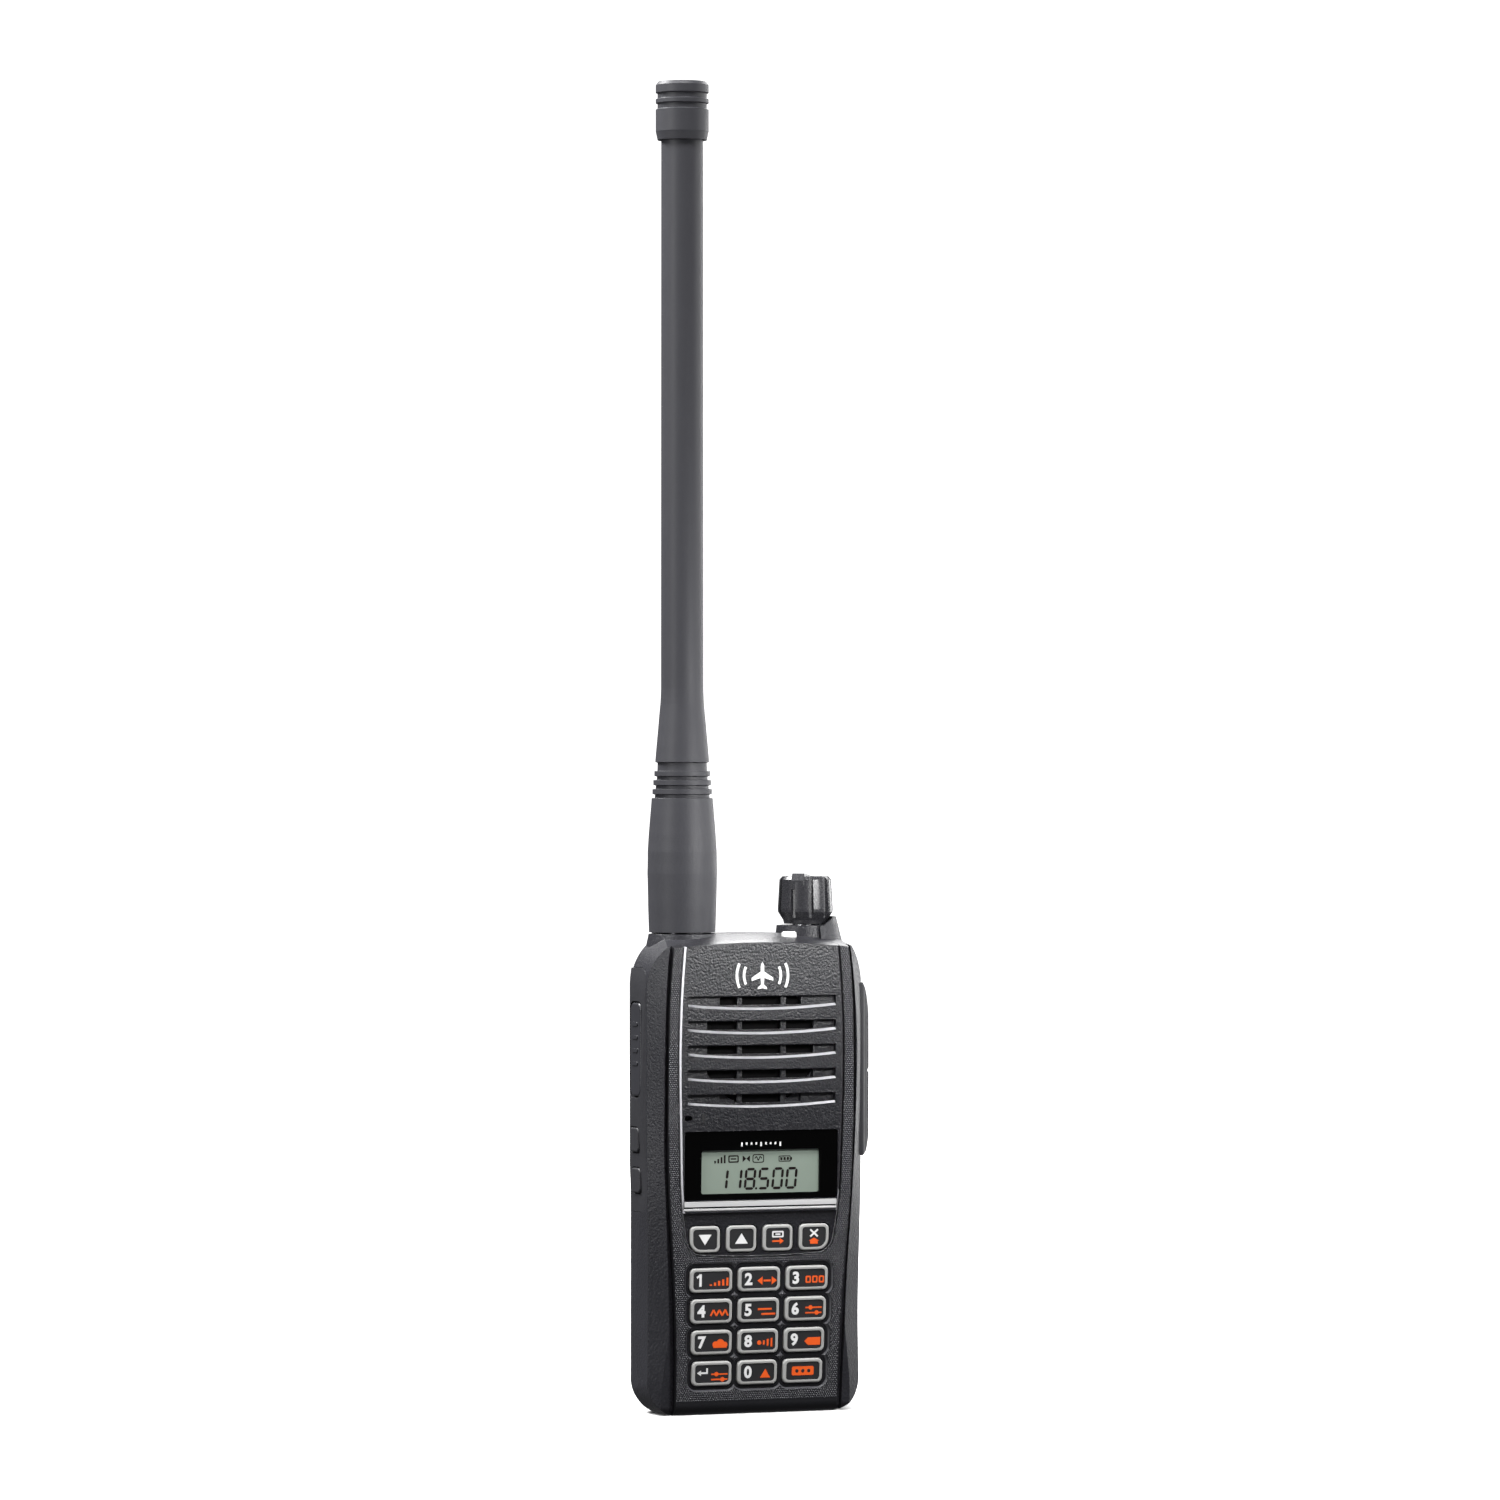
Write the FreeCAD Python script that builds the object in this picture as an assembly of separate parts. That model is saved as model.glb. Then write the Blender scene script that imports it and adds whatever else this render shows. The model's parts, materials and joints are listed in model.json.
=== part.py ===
"""Handheld aviation radio with its battery pack, flexible antenna and belt clip, as separate pieces.

Row frame, in millimetres: +Z runs up to the antenna tip, -Y points out of the keypad face, +X is to the
right as the keypad is read. The origin is on the flat bottom face, below the middle of the case.
The keypad face is a very flat arc in side view. Pieces on it are built at the arc's middle height, where the
face is upright, and on_face() turns them about the arc's own axis to the height where they sit.
"""
import FreeCAD, Part
import math
import os

V = FreeCAD.Vector
X, Y, Z = V(1, 0, 0), V(0, 1, 0), V(0, 0, 1)

# ---- driving dimensions: the whole body ----
FRONT_HALF = 26.9             # half-width along the front crease, where the body is widest
BACK_HALF = 26.3              # half-width where the long rear corners begin
DEPTH_FRONT = -12.25          # y of the keypad face where it is upright
DEPTH_BACK = 12.25
FACE_RADIUS = 1400.0          # the keypad face's arc in side view
FACE_MID_Z = 100.0            # the height where that arc is upright
TOP_Z = 111.7                 # crest of the top surface
TOP_ARCH_RADIUS = 190.0       # the top's arc in front view
TOP_ROLL = 45.8               # the top's arc in side view
WALL = 1.8
SPLIT_Y = 4.5                 # back edge of the front case, where the battery begins
BACK_CORNER = 9.5             # radius of the long rear corners
BATTERY_TOP = 84.4
CAP_Z = 104.0                 # above this the front case wraps over to the back
GAP = 0.1                     # joint line between shells

# ---- the layers of the keypad face, as depths behind it ----
BEZEL_DEPTH = 0.25
LIP_DEPTH = 0.75              # the case's own rim beside the bezel
PLATE_BACK = 2.1              # back of the panel and the bezel, front of the case wall
CASE_BACK = PLATE_BACK + 1.6
WINDOW_BACK = 1.35
GLASS_DEPTH = (1.95, 3.1)
HOLDER_DEPTH = (3.75, 5.2)
MAT_DEPTH = (5.7, 6.4)
KEY_BOARD_DEPTH = (6.45, 7.2)

# ---- front panel, display and slots ----
PANEL_BOTTOM = 36.6
WINDOW_LOW, WINDOW_HIGH = 49.9, 65.9
WINDOW_HALF = 19.2
TRIM_LOW, TRIM_HIGH = 47.4, 49.8
TRAY_HIGH, TRAY_DEPTH, TRAY_INSET = 47.0, 0.7, 0.25    # sunk floor around the four keys under the display
VIEW_HEIGHT_MID = 56.6        # middle height of the display
SLOT_COUNT, SLOT_TOP, SLOT_PITCH = 5, 97.2, 5.67
SLOT_HALF = 18.5
SLOT_END_HEIGHT, SLOT_SAG = 1.7, 0.9
SLOT_FLOOR = 1.3
SPEAKER_Z, SPEAKER_RADIUS = 85.9, 16.0

# ---- keys ----
KEY_ROWS_Z = (31.3, 24.1, 16.85, 9.6)
KEY_NAMES = (
    ("key_1", "key_2", "key_3"),
    ("key_4", "key_5", "key_6"),
    ("key_7", "key_8", "key_9"),
    ("key_enter", "key_0", "key_function"),
)
KEY_PITCH_TOP, KEY_PITCH_STEP = 12.0, -0.2        # column pitch of the first row, change per row
KEY_WIDTH_TOP, KEY_WIDTH_STEP = 10.5, -0.2
KEY_HEIGHT = 5.7
KEY_CORNER = 1.3
SOFT_NAMES = ("key_down", "key_up", "key_memory", "key_clear")
SOFT_Z, SOFT_PITCH, SOFT_WIDTH, SOFT_HEIGHT = 40.8, 9.1, 7.5, 6.2
SOFT_BIG_CORNER = 2.8
KEY_TOP_DEPTH = 0.1           # depth of the key tops behind the face
SOFT_TOP_DEPTH = 0.35
KEY_TRAVEL = 0.8
KEY_CLEAR = 0.25
KEY_RIM = 0.75                # width of the light rim around a key's sunken face
KEY_FLANGE = 0.35             # how far the retaining flange reaches past the opening

# ---- top controls ----
CONTROL_Y = 1.0
ANTENNA_X, KNOB_X = -14.8, 16.2
BOSS_TOP = 111.4
ANTENNA_FOOT = 111.8
ANTENNA_TIP = 309.8
JACK_RADIUS = 4.83            # outside of the bayonet socket's tube
LUG_Z = 117.2
PEDESTAL_TOP = 113.2
KNOB_FOOT, KNOB_TOP = 113.5, 124.6
SHAFT_RADIUS, SHAFT_CLEAR = 3.0, 0.05

# ---- left side: talk button and two small keys ----
TALK_Z = (73.8, 95.6)
TALK_Y = (-3.6, 3.0)
TALK_FACE = -27.05
TALK_TRAVEL = 1.0
SIDE_KEY_Y = (-2.9, 2.6)
SIDE_KEYS = (("upper_side_key", 60.9, 66.6, -27.4), ("lower_side_key", 51.4, 57.2, -27.0))
SIDE_CLEAR = 0.25
GRIP_Z = (47.0, 103.6)

# ---- right side: accessory jacks and their cover ----
COVER_Z = (59.4, 99.9)
COVER_STEPS = ((-7.9, 27.5), (-7.3, 28.3), (-6.7, 29.15))    # y and x of the stepped front edge
COVER_BACK_Y = 3.9
JACKS = ((86.5, 1.75), (75.5, 1.25))             # height and bore radius of the two jacks
JACK_Y = -1.0
JACK_DEPTH = 14.0

# ---- belt clip and battery latch ----
CLIP_PIN_Y, CLIP_PIN_Z, CLIP_PIN_RADIUS = 15.6, 99.0, 1.0
CLIP_HALF = 8.0
LATCH_PIVOT_Y, LATCH_PIVOT_Z, LATCH_PIN_RADIUS = 7.6, 1.5, 0.75
LATCH_HALF = 6.5
FOOT_HALF, FOOT_TOP = 9.5, 2.7


# ---------------------------------------------------------------- helpers
def wire(to_3d, start, steps):
    """A closed wire. A step is (a, b) for a line, (mid a, mid b, a, b) for an arc, or a list for a curve."""
    edges, here = [], start
    for step in steps:
        if isinstance(step, list):
            curve = Part.BSplineCurve()
            curve.interpolate([to_3d(*p) for p in [here, *step]])
            edges.append(curve.toShape())
            here = step[-1]
        elif len(step) == 4:
            edges.append(Part.Arc(to_3d(*here), to_3d(*step[:2]), to_3d(*step[2:])).toShape())
            here = step[2:]
        else:
            edges.append(Part.LineSegment(to_3d(*here), to_3d(*step)).toShape())
            here = step
    if math.dist(here, start) > 1e-6:
        edges.append(Part.LineSegment(to_3d(*here), to_3d(*start)).toShape())
    return Part.Wire(edges)


def prism_front(start, steps, y0, y1):
    """An outline drawn in X and Z, pushed from y0 to y1."""
    return Part.Face(wire(lambda a, b: V(a, y0, b), start, steps)).extrude(V(0, y1 - y0, 0))


def prism_side(start, steps, x0, x1):
    """An outline drawn in Y and Z, pushed from x0 to x1."""
    return Part.Face(wire(lambda a, b: V(x0, a, b), start, steps)).extrude(V(x1 - x0, 0, 0))


def prism_top(start, steps, z0, z1):
    """An outline drawn in X and Y, pushed from z0 to z1."""
    return Part.Face(wire(lambda a, b: V(a, b, z0), start, steps)).extrude(V(0, 0, z1 - z0))


def both_sides(start, steps):
    """Completes a right-hand outline that starts and ends at a = 0 with its mirror image."""
    points = [start]
    for step in steps:
        points.append(step[-1] if isinstance(step, list) else step[-2:])
    back = []
    for step, before in zip(reversed(steps), reversed(points[:-1])):
        end = (-before[0], before[1])
        if isinstance(step, list):
            back.append([(-a, b) for a, b in reversed(step[:-1])] + [end])
        elif len(step) == 4:
            back.append((-step[0], step[1], *end))
        else:
            back.append(end)
    return start, list(steps) + back


def box(x, y, z):
    """A box from three (low, high) pairs."""
    return Part.makeBox(x[1] - x[0], y[1] - y[0], z[1] - z[0], V(x[0], y[0], z[0]))


def edges_along(shape, axis):
    return [e for e in shape.Edges if len(e.Vertexes) == 2
            and (e.Vertexes[1].Point - e.Vertexes[0].Point).cross(axis).Length < 1e-6]


def rounded_box(x, y, z, radius, axis):
    """A box with the four edges along one axis rounded."""
    block = box(x, y, z)
    return block.makeFillet(radius, edges_along(block, axis))


def edges_at(shape, axis, value):
    """The edges whose every point lies at one coordinate, such as the rim of a flat end face."""
    found = []
    for e in shape.Edges:
        b = e.BoundBox
        low, high = {"x": (b.XMin, b.XMax), "y": (b.YMin, b.YMax), "z": (b.ZMin, b.ZMax)}[axis]
        if abs(low - value) < 1e-4 and abs(high - value) < 1e-4:
            found.append(e)
    return found


def cylinder(radius, low, high, x=0.0, y=0.0):
    return Part.makeCylinder(radius, high - low, V(x, y, low), Z)


def cone(r_low, r_high, low, high, x=0.0, y=0.0):
    return Part.makeCone(r_low, r_high, high - low, V(x, y, low), Z)


def turned(profile, x, y):
    """A solid turned about an upright axis from (radius, z) points."""
    face = Part.Face(Part.makePolygon([V(r, 0, z) for r, z in [*profile, profile[0]]]))
    solid = face.revolve(V(0, 0, 0), Z, 360)
    solid.translate(V(x, y, 0))
    return solid


def loft(wires):
    return Part.makeLoft(wires, True, True)


def save(name, shape):
    shape = shape.removeSplitter() if shape.ShapeType == "Solid" else shape
    solids = shape.Solids
    assert solids and all(s.isValid() and s.Volume > 0 for s in solids), name
    out = solids[0] if len(solids) == 1 else Part.Compound(solids)
    out.exportStep(f"parts/{name}.step")
    print(f"{name}: {len(solids)} solids, {sum(s.Volume for s in solids):.1f} mm3")


# ---------------------------------------------------------------- the body's outer form
FACE_AXIS_Y = DEPTH_FRONT + FACE_RADIUS


def on_face(shape, z):
    """Moves a shape built at FACE_MID_Z along the face's arc to the height z."""
    angle = math.degrees(math.asin((z - FACE_MID_Z) / FACE_RADIUS))
    moved = shape.copy()
    moved.rotate(V(0, FACE_AXIS_Y, FACE_MID_Z), X, -angle)
    return moved


def face_y(z, depth=0.0):
    """y of the face's arc at the height z, a depth behind it."""
    radius = FACE_RADIUS - depth
    return FACE_AXIS_Y - math.sqrt(radius**2 - (z - FACE_MID_Z) ** 2)


def side_form(depth, inset):
    """The body's side view: the face's arc at a depth, a rolled foot and a rounded rear top corner."""
    roll = 2.9 - depth * 0.6
    low, high = roll + inset, 120.0
    foot_y = face_y(low, depth) + 0.9 * roll
    back = DEPTH_BACK - inset
    steps = [
        (back - 2.5, inset),
        (back - 0.73, inset + 0.73, back, inset + 2.5),
        (back, 99.5),
        (back - 1.25, 105.4 - 0.4 * inset, back - 5.6, 110.7 - 0.8 * inset),
        (back - 12.0, high),
        (face_y(high, depth), high),
        (face_y(60.0, depth), 60.0, face_y(low, depth), low),
        (face_y(low, depth) + 0.27 * roll, inset + 0.29 * roll, foot_y, inset),
    ]
    return prism_side((foot_y, inset), steps, -30, 30)


def edge_steps(side, inset):
    """The body's right-hand edge in front view, from the foot up over the shoulder."""
    return [
        (side - 6.3 - 0.4 * inset, inset),
        (side - 1.9 - 0.7 * inset, 2.9 + 0.7 * inset, side - 0.4, 8.5 + 0.5 * inset),
        [(side - 0.5, 30), (side - 0.15, 55), (side, 75), (side, 99.5)],
        (side - 1.7 - 0.9 * inset, 105.7 - 0.4 * inset, side - 6.3 - 0.6 * inset, 110.7 - 0.8 * inset),
    ]


def front_form(inset):
    """The body's front view: rounded foot corners, upright sides and sloped shoulders."""
    start, steps = both_sides((0, inset), edge_steps(FRONT_HALF - inset, inset) + [(14, 114), (0, 114)])
    return prism_front(start, steps, -20, 20)


def plan_form(inset):
    """The body's section from above: the walls lean in a little towards the back."""
    lean = (FRONT_HALF - BACK_HALF) / 10.0
    front, back = FRONT_HALF + 9.0 * lean - inset, BACK_HALF - inset
    corner_y = DEPTH_BACK - BACK_CORNER
    start, steps = both_sides((0, -16), [(front, -16), (back, corner_y), (back, 20), (0, 20)])
    return prism_top(start, steps, -1, 121)


def rear_corner_cut(inset, sign):
    """The tool that rounds a long rear corner, and rolls it in at the shoulder and the foot."""
    x, y = BACK_HALF - BACK_CORNER, DEPTH_BACK - BACK_CORNER
    reach = BACK_CORNER - inset
    outline = wire(lambda a, b: V(a, 0, b), (0, inset), [
        (max(reach - 6.3 - 0.4 * inset, 0.3), inset),
        (reach - 1.7 - 0.7 * inset, 2.9 + 0.7 * inset, reach, 8.5 + 0.5 * inset),
        (reach, 99.5),
        (reach - 1.3 - 0.9 * inset, 105.4 - 0.4 * inset,
         max(reach - 5.9 - 0.6 * inset, 0.3), 110.7 - 0.8 * inset),
        (0, 113.5),
    ])
    post = Part.Face(outline).revolve(V(0, 0, 0), Z, 360)
    post.translate(V(sign * x, y, 0))
    return box(sorted((sign * x, sign * 32)), (y, 22), (-2, 120)).cut(post)


def top_form(inset):
    """Everything under the top surface, which is arched in both views."""
    crest, y_mid, reach = TOP_Z - inset, 1.5, 18.0
    drop = TOP_ROLL - math.sqrt(TOP_ROLL**2 - reach**2)
    rim = crest - drop
    profile = wire(lambda a, b: V(0, a, b), (y_mid - reach, 88),
                   [(y_mid - reach, rim), (y_mid, crest, y_mid + reach, rim), (y_mid + reach, 88)])
    half_sweep = 9.5
    face = Part.Face(profile)
    axis_point = V(0, 0, TOP_Z - TOP_ARCH_RADIUS)
    face.rotate(axis_point, Y, -half_sweep)
    fan = face.revolve(axis_point, Y, 2 * half_sweep)
    return fan.fuse(box((-30, 30), (y_mid - reach, y_mid + reach), (-2, 90)))


# height, the crease's x and y, and where the slope's line would reach the plane y = -14
CORNER_SLOPES = (
    (-2, 26.4, -6.0, 12.3),
    (20, 26.45, -6.6, 13.9),
    (47, 26.7, -7.3, 18.4),
    (62, 26.85, -7.4, 20.9),
    (80, 26.9, -7.4, 22.4),
    (98, 26.9, -7.4, 21.6),
    (110, 26.5, -7.2, 19.3),
    (122, 26.0, -7.0, 16.5),
)


def corner_cut(inset, sign):
    """The tool that slopes a front corner of the body. The slope turns steeper towards the top."""
    sections = []
    for z, x_crease, y_crease, reach in CORNER_SLOPES:
        outer = (x_crease - inset, y_crease + 0.5 * inset)
        inner = (reach - 1.1 * inset, -14.0)
        beyond = (outer[0] + 0.2 * (outer[0] - inner[0]), outer[1] + 0.2 * (outer[1] - inner[1]))
        corners = [V(inner[0] * sign, inner[1], z), V(beyond[0] * sign, beyond[1], z), V(36 * sign, -14.0, z)]
        sections.append(Part.makePolygon([*corners, corners[0]]))
    return Part.makeLoft(sections, True, False)


def body_form(depth, inset):
    """The body's outer form, with its keypad face at a depth and everything else inset."""
    form = front_form(inset).common(side_form(depth, inset))
    form = form.common(plan_form(inset)).common(top_form(inset))
    for sign in (-1, 1):
        form = form.cut(corner_cut(inset, sign)).cut(rear_corner_cut(inset, sign))
    return form


def face_layer(depth_front, depth_back):
    """The layer of the body between two depths behind the keypad face, ends and foot included."""
    outer = front_form(0).common(side_form(depth_front, 0)).common(top_form(0))
    return outer.cut(side_form(depth_back, 0)).common(box((-30, 30), (-16, 0), (-1, 120)))


# ---------------------------------------------------------------- outlines on the keypad face
def panel_outline(gap=0.0):
    """Half-widths of the raised centre panel, grown by a gap."""
    return both_sides((0, PANEL_BOTTOM - gap), [
        (7.5, PANEL_BOTTOM + 0.1 - gap, 14.2, PANEL_BOTTOM + 0.38 - gap),
        [(16.5 + 0.4 * gap, 37.65 - 0.9 * gap), (17.95 + 0.8 * gap, 39.2 - 0.6 * gap), (18.7 + gap, 41.8),
         (19.5 + gap, 47), (20.3 + gap, 62), (20.7 + gap, 80), (20.3 + gap, 98), (19.1 + gap, 112)],
        (0, 112),
    ])


def bezel_outline(groove=(0.0, 0.0)):
    """Half-widths of the bezel, grown by the groove beside it: its width at the foot and higher up."""
    low, high = groove
    return both_sides((0, -1), [
        (20.2 + low, -1),
        [(20.25 + low, 9), (20.55 + low, 20), (21.4 + (low + high) / 2, 35), (22.35 + high, 47),
         (23.05 + high, 62), (23.15 + high, 80), (22.75 + high, 98), (21.3 + high, 112)],
        (0, 112),
    ])


def rounded_outline(width, height, radius, z, y, big=None):
    """A rounded rectangle as a wire at y. big is (side, radius) for one larger lower corner."""
    w, h = width / 2, height / 2
    radii = {(1, -1): radius, (1, 1): radius, (-1, 1): radius, (-1, -1): radius}
    if big:
        radii[(big[0], -1)] = big[1]
    steps, start = [], (-w + radii[(-1, -1)], z - h)
    for sx, sz, first in ((1, -1, "x"), (1, 1, "z"), (-1, 1, "x"), (-1, -1, "z")):
        r = radii[(sx, sz)]
        along_x, along_z = (sx * (w - r), z + sz * h), (sx * w, z + sz * (h - r))
        mid = (sx * (w - 0.293 * r), z + sz * (h - 0.293 * r))
        a, b = (along_x, along_z) if first == "x" else (along_z, along_x)
        steps += [a, (*mid, *b)]
    return wire(lambda p, q: V(p, y, q), start, steps)


def key_block(width, height, radius, y0, y1, big=None):
    """A rounded block at the arc's middle height, centred on x = 0."""
    return Part.Face(rounded_outline(width, height, radius, FACE_MID_Z, y0, big)).extrude(V(0, y1 - y0, 0))


def key_dish(width, height, radius, depth):
    """The sloped hollow around a key opening."""
    y = DEPTH_FRONT + depth
    return loft([
        rounded_outline(width + 2.9, height + 2.9, radius + 1.3, FACE_MID_Z, y - 0.2, None),
        rounded_outline(width + 1.9, height + 1.9, radius + 0.8, FACE_MID_Z, y + 0.5, None),
    ])


def all_keys():
    """Name, x, z, width, height, corner radius and larger lower corner of each key."""
    keys = []
    for row, names in enumerate(KEY_NAMES):
        for column, name in enumerate(names):
            x = (column - 1) * (KEY_PITCH_TOP + row * KEY_PITCH_STEP)
            width = KEY_WIDTH_TOP + row * KEY_WIDTH_STEP
            keys.append((name, x, KEY_ROWS_Z[row], width, KEY_HEIGHT, KEY_CORNER, None))
    for i, name in enumerate(SOFT_NAMES):
        big = {0: (-1, SOFT_BIG_CORNER), 3: (1, SOFT_BIG_CORNER)}.get(i)
        keys.append((name, (i - 1.5) * SOFT_PITCH, SOFT_Z, SOFT_WIDTH, SOFT_HEIGHT, KEY_CORNER, big))
    return keys


def placed(shape, x, z):
    moved = on_face(shape, z)
    moved.translate(V(x, 0, 0))
    return moved


def key_opening(key):
    name, x, z, width, height, radius, big = key
    grown = (big[0], big[1] + KEY_CLEAR) if big else None
    tool = key_block(width + 2 * KEY_CLEAR, height + 2 * KEY_CLEAR, radius + KEY_CLEAR,
                     DEPTH_FRONT - 2, DEPTH_FRONT + CASE_BACK + 0.6, grown)
    return placed(tool, x, z)


def make_key(key):
    name, x, z, width, height, radius, big = key
    top = DEPTH_FRONT + (SOFT_TOP_DEPTH if name in SOFT_NAMES else KEY_TOP_DEPTH)
    stem_back = DEPTH_FRONT + CASE_BACK + 0.2
    cap = key_block(width, height, radius, top, stem_back, big)
    cap = cap.makeFillet(0.4, edges_at(cap, "y", top))
    inlay = key_block(width - 2 * KEY_RIM, height - 2 * KEY_RIM, radius * 0.6, top - 1, top + 0.2,
                      (big[0], big[1] - KEY_RIM) if big else None)
    grow = 2 * (KEY_CLEAR + KEY_FLANGE)
    flange = key_block(width + grow, height + grow, radius + 0.6, stem_back, stem_back + 0.55)
    plunger_back = DEPTH_FRONT + MAT_DEPTH[0] - KEY_TRAVEL - 0.15
    plunger = Part.makeCylinder(1.4, plunger_back - stem_back, V(0, stem_back, FACE_MID_Z), Y)
    return placed(cap.cut(inlay).fuse([flange, plunger]), x, z)


def face_slab(width, height, radius, depths, z, x=0.0):
    """A rounded plate between two depths behind the face, centred at a height."""
    return placed(key_block(width, height, radius, DEPTH_FRONT + depths[0], DEPTH_FRONT + depths[1]), x, z)


# ---------------------------------------------------------------- front pieces
WINDOW_MID = (WINDOW_LOW + WINDOW_HIGH) / 2
TRIM_MID = (TRIM_LOW + TRIM_HIGH) / 2


def make_front_panel():
    layer = face_layer(0.0, PLATE_BACK)
    start, steps = panel_outline()
    panel = prism_front(start, steps, -16, 0).common(layer)
    rim = [e for e in panel.Edges if on_rim(e)]
    panel = panel.makeChamfer(0.6, rim)
    for i in range(SLOT_COUNT):
        panel = panel.cut(slot_tools(i))
    window_height = WINDOW_HIGH - WINDOW_LOW
    panel = panel.cut(face_slab(2 * WINDOW_HALF, window_height, 0.6, (-2, WINDOW_BACK + 0.05), WINDOW_MID))
    panel = panel.cut(face_slab(35.0, 13.6, 0.6, (0, 4), VIEW_HEIGHT_MID + 0.8))
    panel = panel.cut(face_slab(38.5, TRIM_HIGH - TRIM_LOW, 0.3, (-2, 0.8), TRIM_MID))
    panel = panel.cut(tray_block())
    for key in all_keys():
        if key[0] in SOFT_NAMES:
            panel = panel.cut(key_opening(key))
    return panel.cut(face_slab(2.0, 1.2, 0.5, (-2, 4), 69.0, -18.3))


def on_rim(edge):
    """True for the panel's front rim, apart from its end at the top of the case."""
    mid = edge.valueAt((edge.FirstParameter + edge.LastParameter) / 2)
    front = abs(mid.y - face_y(mid.z)) < 0.02
    return front and mid.z < 105 and (abs(mid.x) > 5 or mid.z < 40)


def tray_block():
    start, steps = panel_outline(-TRAY_INSET)
    block = prism_front(start, steps, -16, 0).common(face_layer(-1.0, TRAY_DEPTH))
    return block.common(box((-30, 30), (-20, 0), (0, TRAY_HIGH)))


def slot_outline(i, y, spread, drop):
    """One slot's outline: a straight top and a bottom that sags in the middle."""
    top = SLOT_TOP - i * SLOT_PITCH
    low = top - SLOT_END_HEIGHT - drop
    half = SLOT_HALF + spread
    return wire(lambda a, b: V(a, y, b), (-half, top),
                [(half, top), (half, low), (0, low - SLOT_SAG, -half, low)])


def slot_tools(i):
    """The slot's hollow with its sloped lower lip, and the three windows through its floor."""
    face = DEPTH_FRONT - 0.3
    z = SLOT_TOP - i * SLOT_PITCH
    rise = face_y(z) - DEPTH_FRONT
    lip = loft([slot_outline(i, face + rise, 0.0, 0.95), slot_outline(i, face + rise + 1.0, 0.0, 0.15)])
    well = Part.Face(slot_outline(i, face + rise + 0.9, 0.0, 0.15)).extrude(V(0, SLOT_FLOOR - 0.6, 0))
    outer = 13.3 if 0 < i < SLOT_COUNT - 1 else 10.2
    windows = []
    for x0, x1 in ((-outer, -5.8), (-4.6, 5.1), (6.4, outer)):
        windows.append(box((x0, x1), (face, 0), (z - SLOT_END_HEIGHT - 0.45, z - 0.25)))
    return lip.fuse([well, *windows])


def make_front_bezel():
    start, steps = bezel_outline()
    bezel = prism_front(start, steps, -16, 0).common(face_layer(BEZEL_DEPTH, PLATE_BACK))
    start, steps = panel_outline(0.06)
    bezel = bezel.cut(prism_front(start, steps, -17, 1))
    for key in all_keys():
        if key[0] not in SOFT_NAMES:
            bezel = bezel.cut(key_opening(key)).cut(placed(key_dish(*key[3:6], BEZEL_DEPTH), key[1], key[2]))
    return bezel


def make_front_case():
    body = body_form(LIP_DEPTH, 0)
    start, steps = bezel_outline(groove=(1.4, 0.8))
    body = body.cut(prism_front(start, steps, -20, 0).cut(side_form(PLATE_BACK, 0)))
    keep = box((-40, 40), (-20, SPLIT_Y), (-5, 130)).fuse(box((-40, 40), (-20, 20), (CAP_Z, 130)))
    foot = box((-FOOT_HALF, FOOT_HALF), (SPLIT_Y - 1, 10.2), (0, FOOT_TOP)).common(body)
    case = body.common(keep).fuse([foot, *top_features()]).cut(body_form(CASE_BACK, WALL))
    tools = [key_opening(key) for key in all_keys()]
    tools.append(face_slab(31.2, 11.8, 0.5, (0, 6), VIEW_HEIGHT_MID))
    tools.append(Part.makeCylinder(SPEAKER_RADIUS - 1.5, 8, V(0, -14, SPEAKER_Z), Y))
    tools.append(face_slab(1.6, 1.0, 0.4, (0, 6), 69.0, -18.3))
    tools += left_side_tools() + right_side_tools() + top_holes() + latch_tools()
    for tool in tools:
        case = case.cut(tool)
    return case


def top_features():
    """The antenna boss with its rear ridge, and the knob's pedestal with its guard."""
    boss = cone(9.3, 7.85, 104.5, BOSS_TOP, ANTENNA_X, CONTROL_Y)
    ridge = prism_front((-19.6, 104), [(-19, 111.6), (-16, 112.5), (-9.0, 112.6), (-4.0, 111.0), (-3, 104)], 6.0, 9.8)
    ridge = ridge.cut(cylinder(8.35, 100, 120, ANTENNA_X, CONTROL_Y))
    pedestal = cone(7.6, 6.75, 106, PEDESTAL_TOP, KNOB_X, CONTROL_Y)
    guard = cone(9.7, 7.2, 105.0, 115.2, KNOB_X, CONTROL_Y)
    guard = guard.common(prism_front((16.8, 100), [(16.8, PEDESTAL_TOP), (17.8, PEDESTAL_TOP),
                                                   (21.3, 115.2), (30, 115.2), (30, 100)], -12, 8.0))
    guard = guard.cut(cylinder(6.8, PEDESTAL_TOP, 120, KNOB_X, CONTROL_Y))
    return [boss, ridge, pedestal, guard]


def top_holes():
    return [
        cylinder(4.85, 95, 120, ANTENNA_X, CONTROL_Y),
        cylinder(6.0, 95, 109.4, ANTENNA_X, CONTROL_Y),
        cylinder(3.8, 95, 120, KNOB_X, CONTROL_Y),
        cylinder(5.6, 111.6, 120, KNOB_X, CONTROL_Y),
        rounded_box((7.1, 10.9), (-7.6, -5.4), (100, 120), 1.0, Z),
    ]


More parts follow.
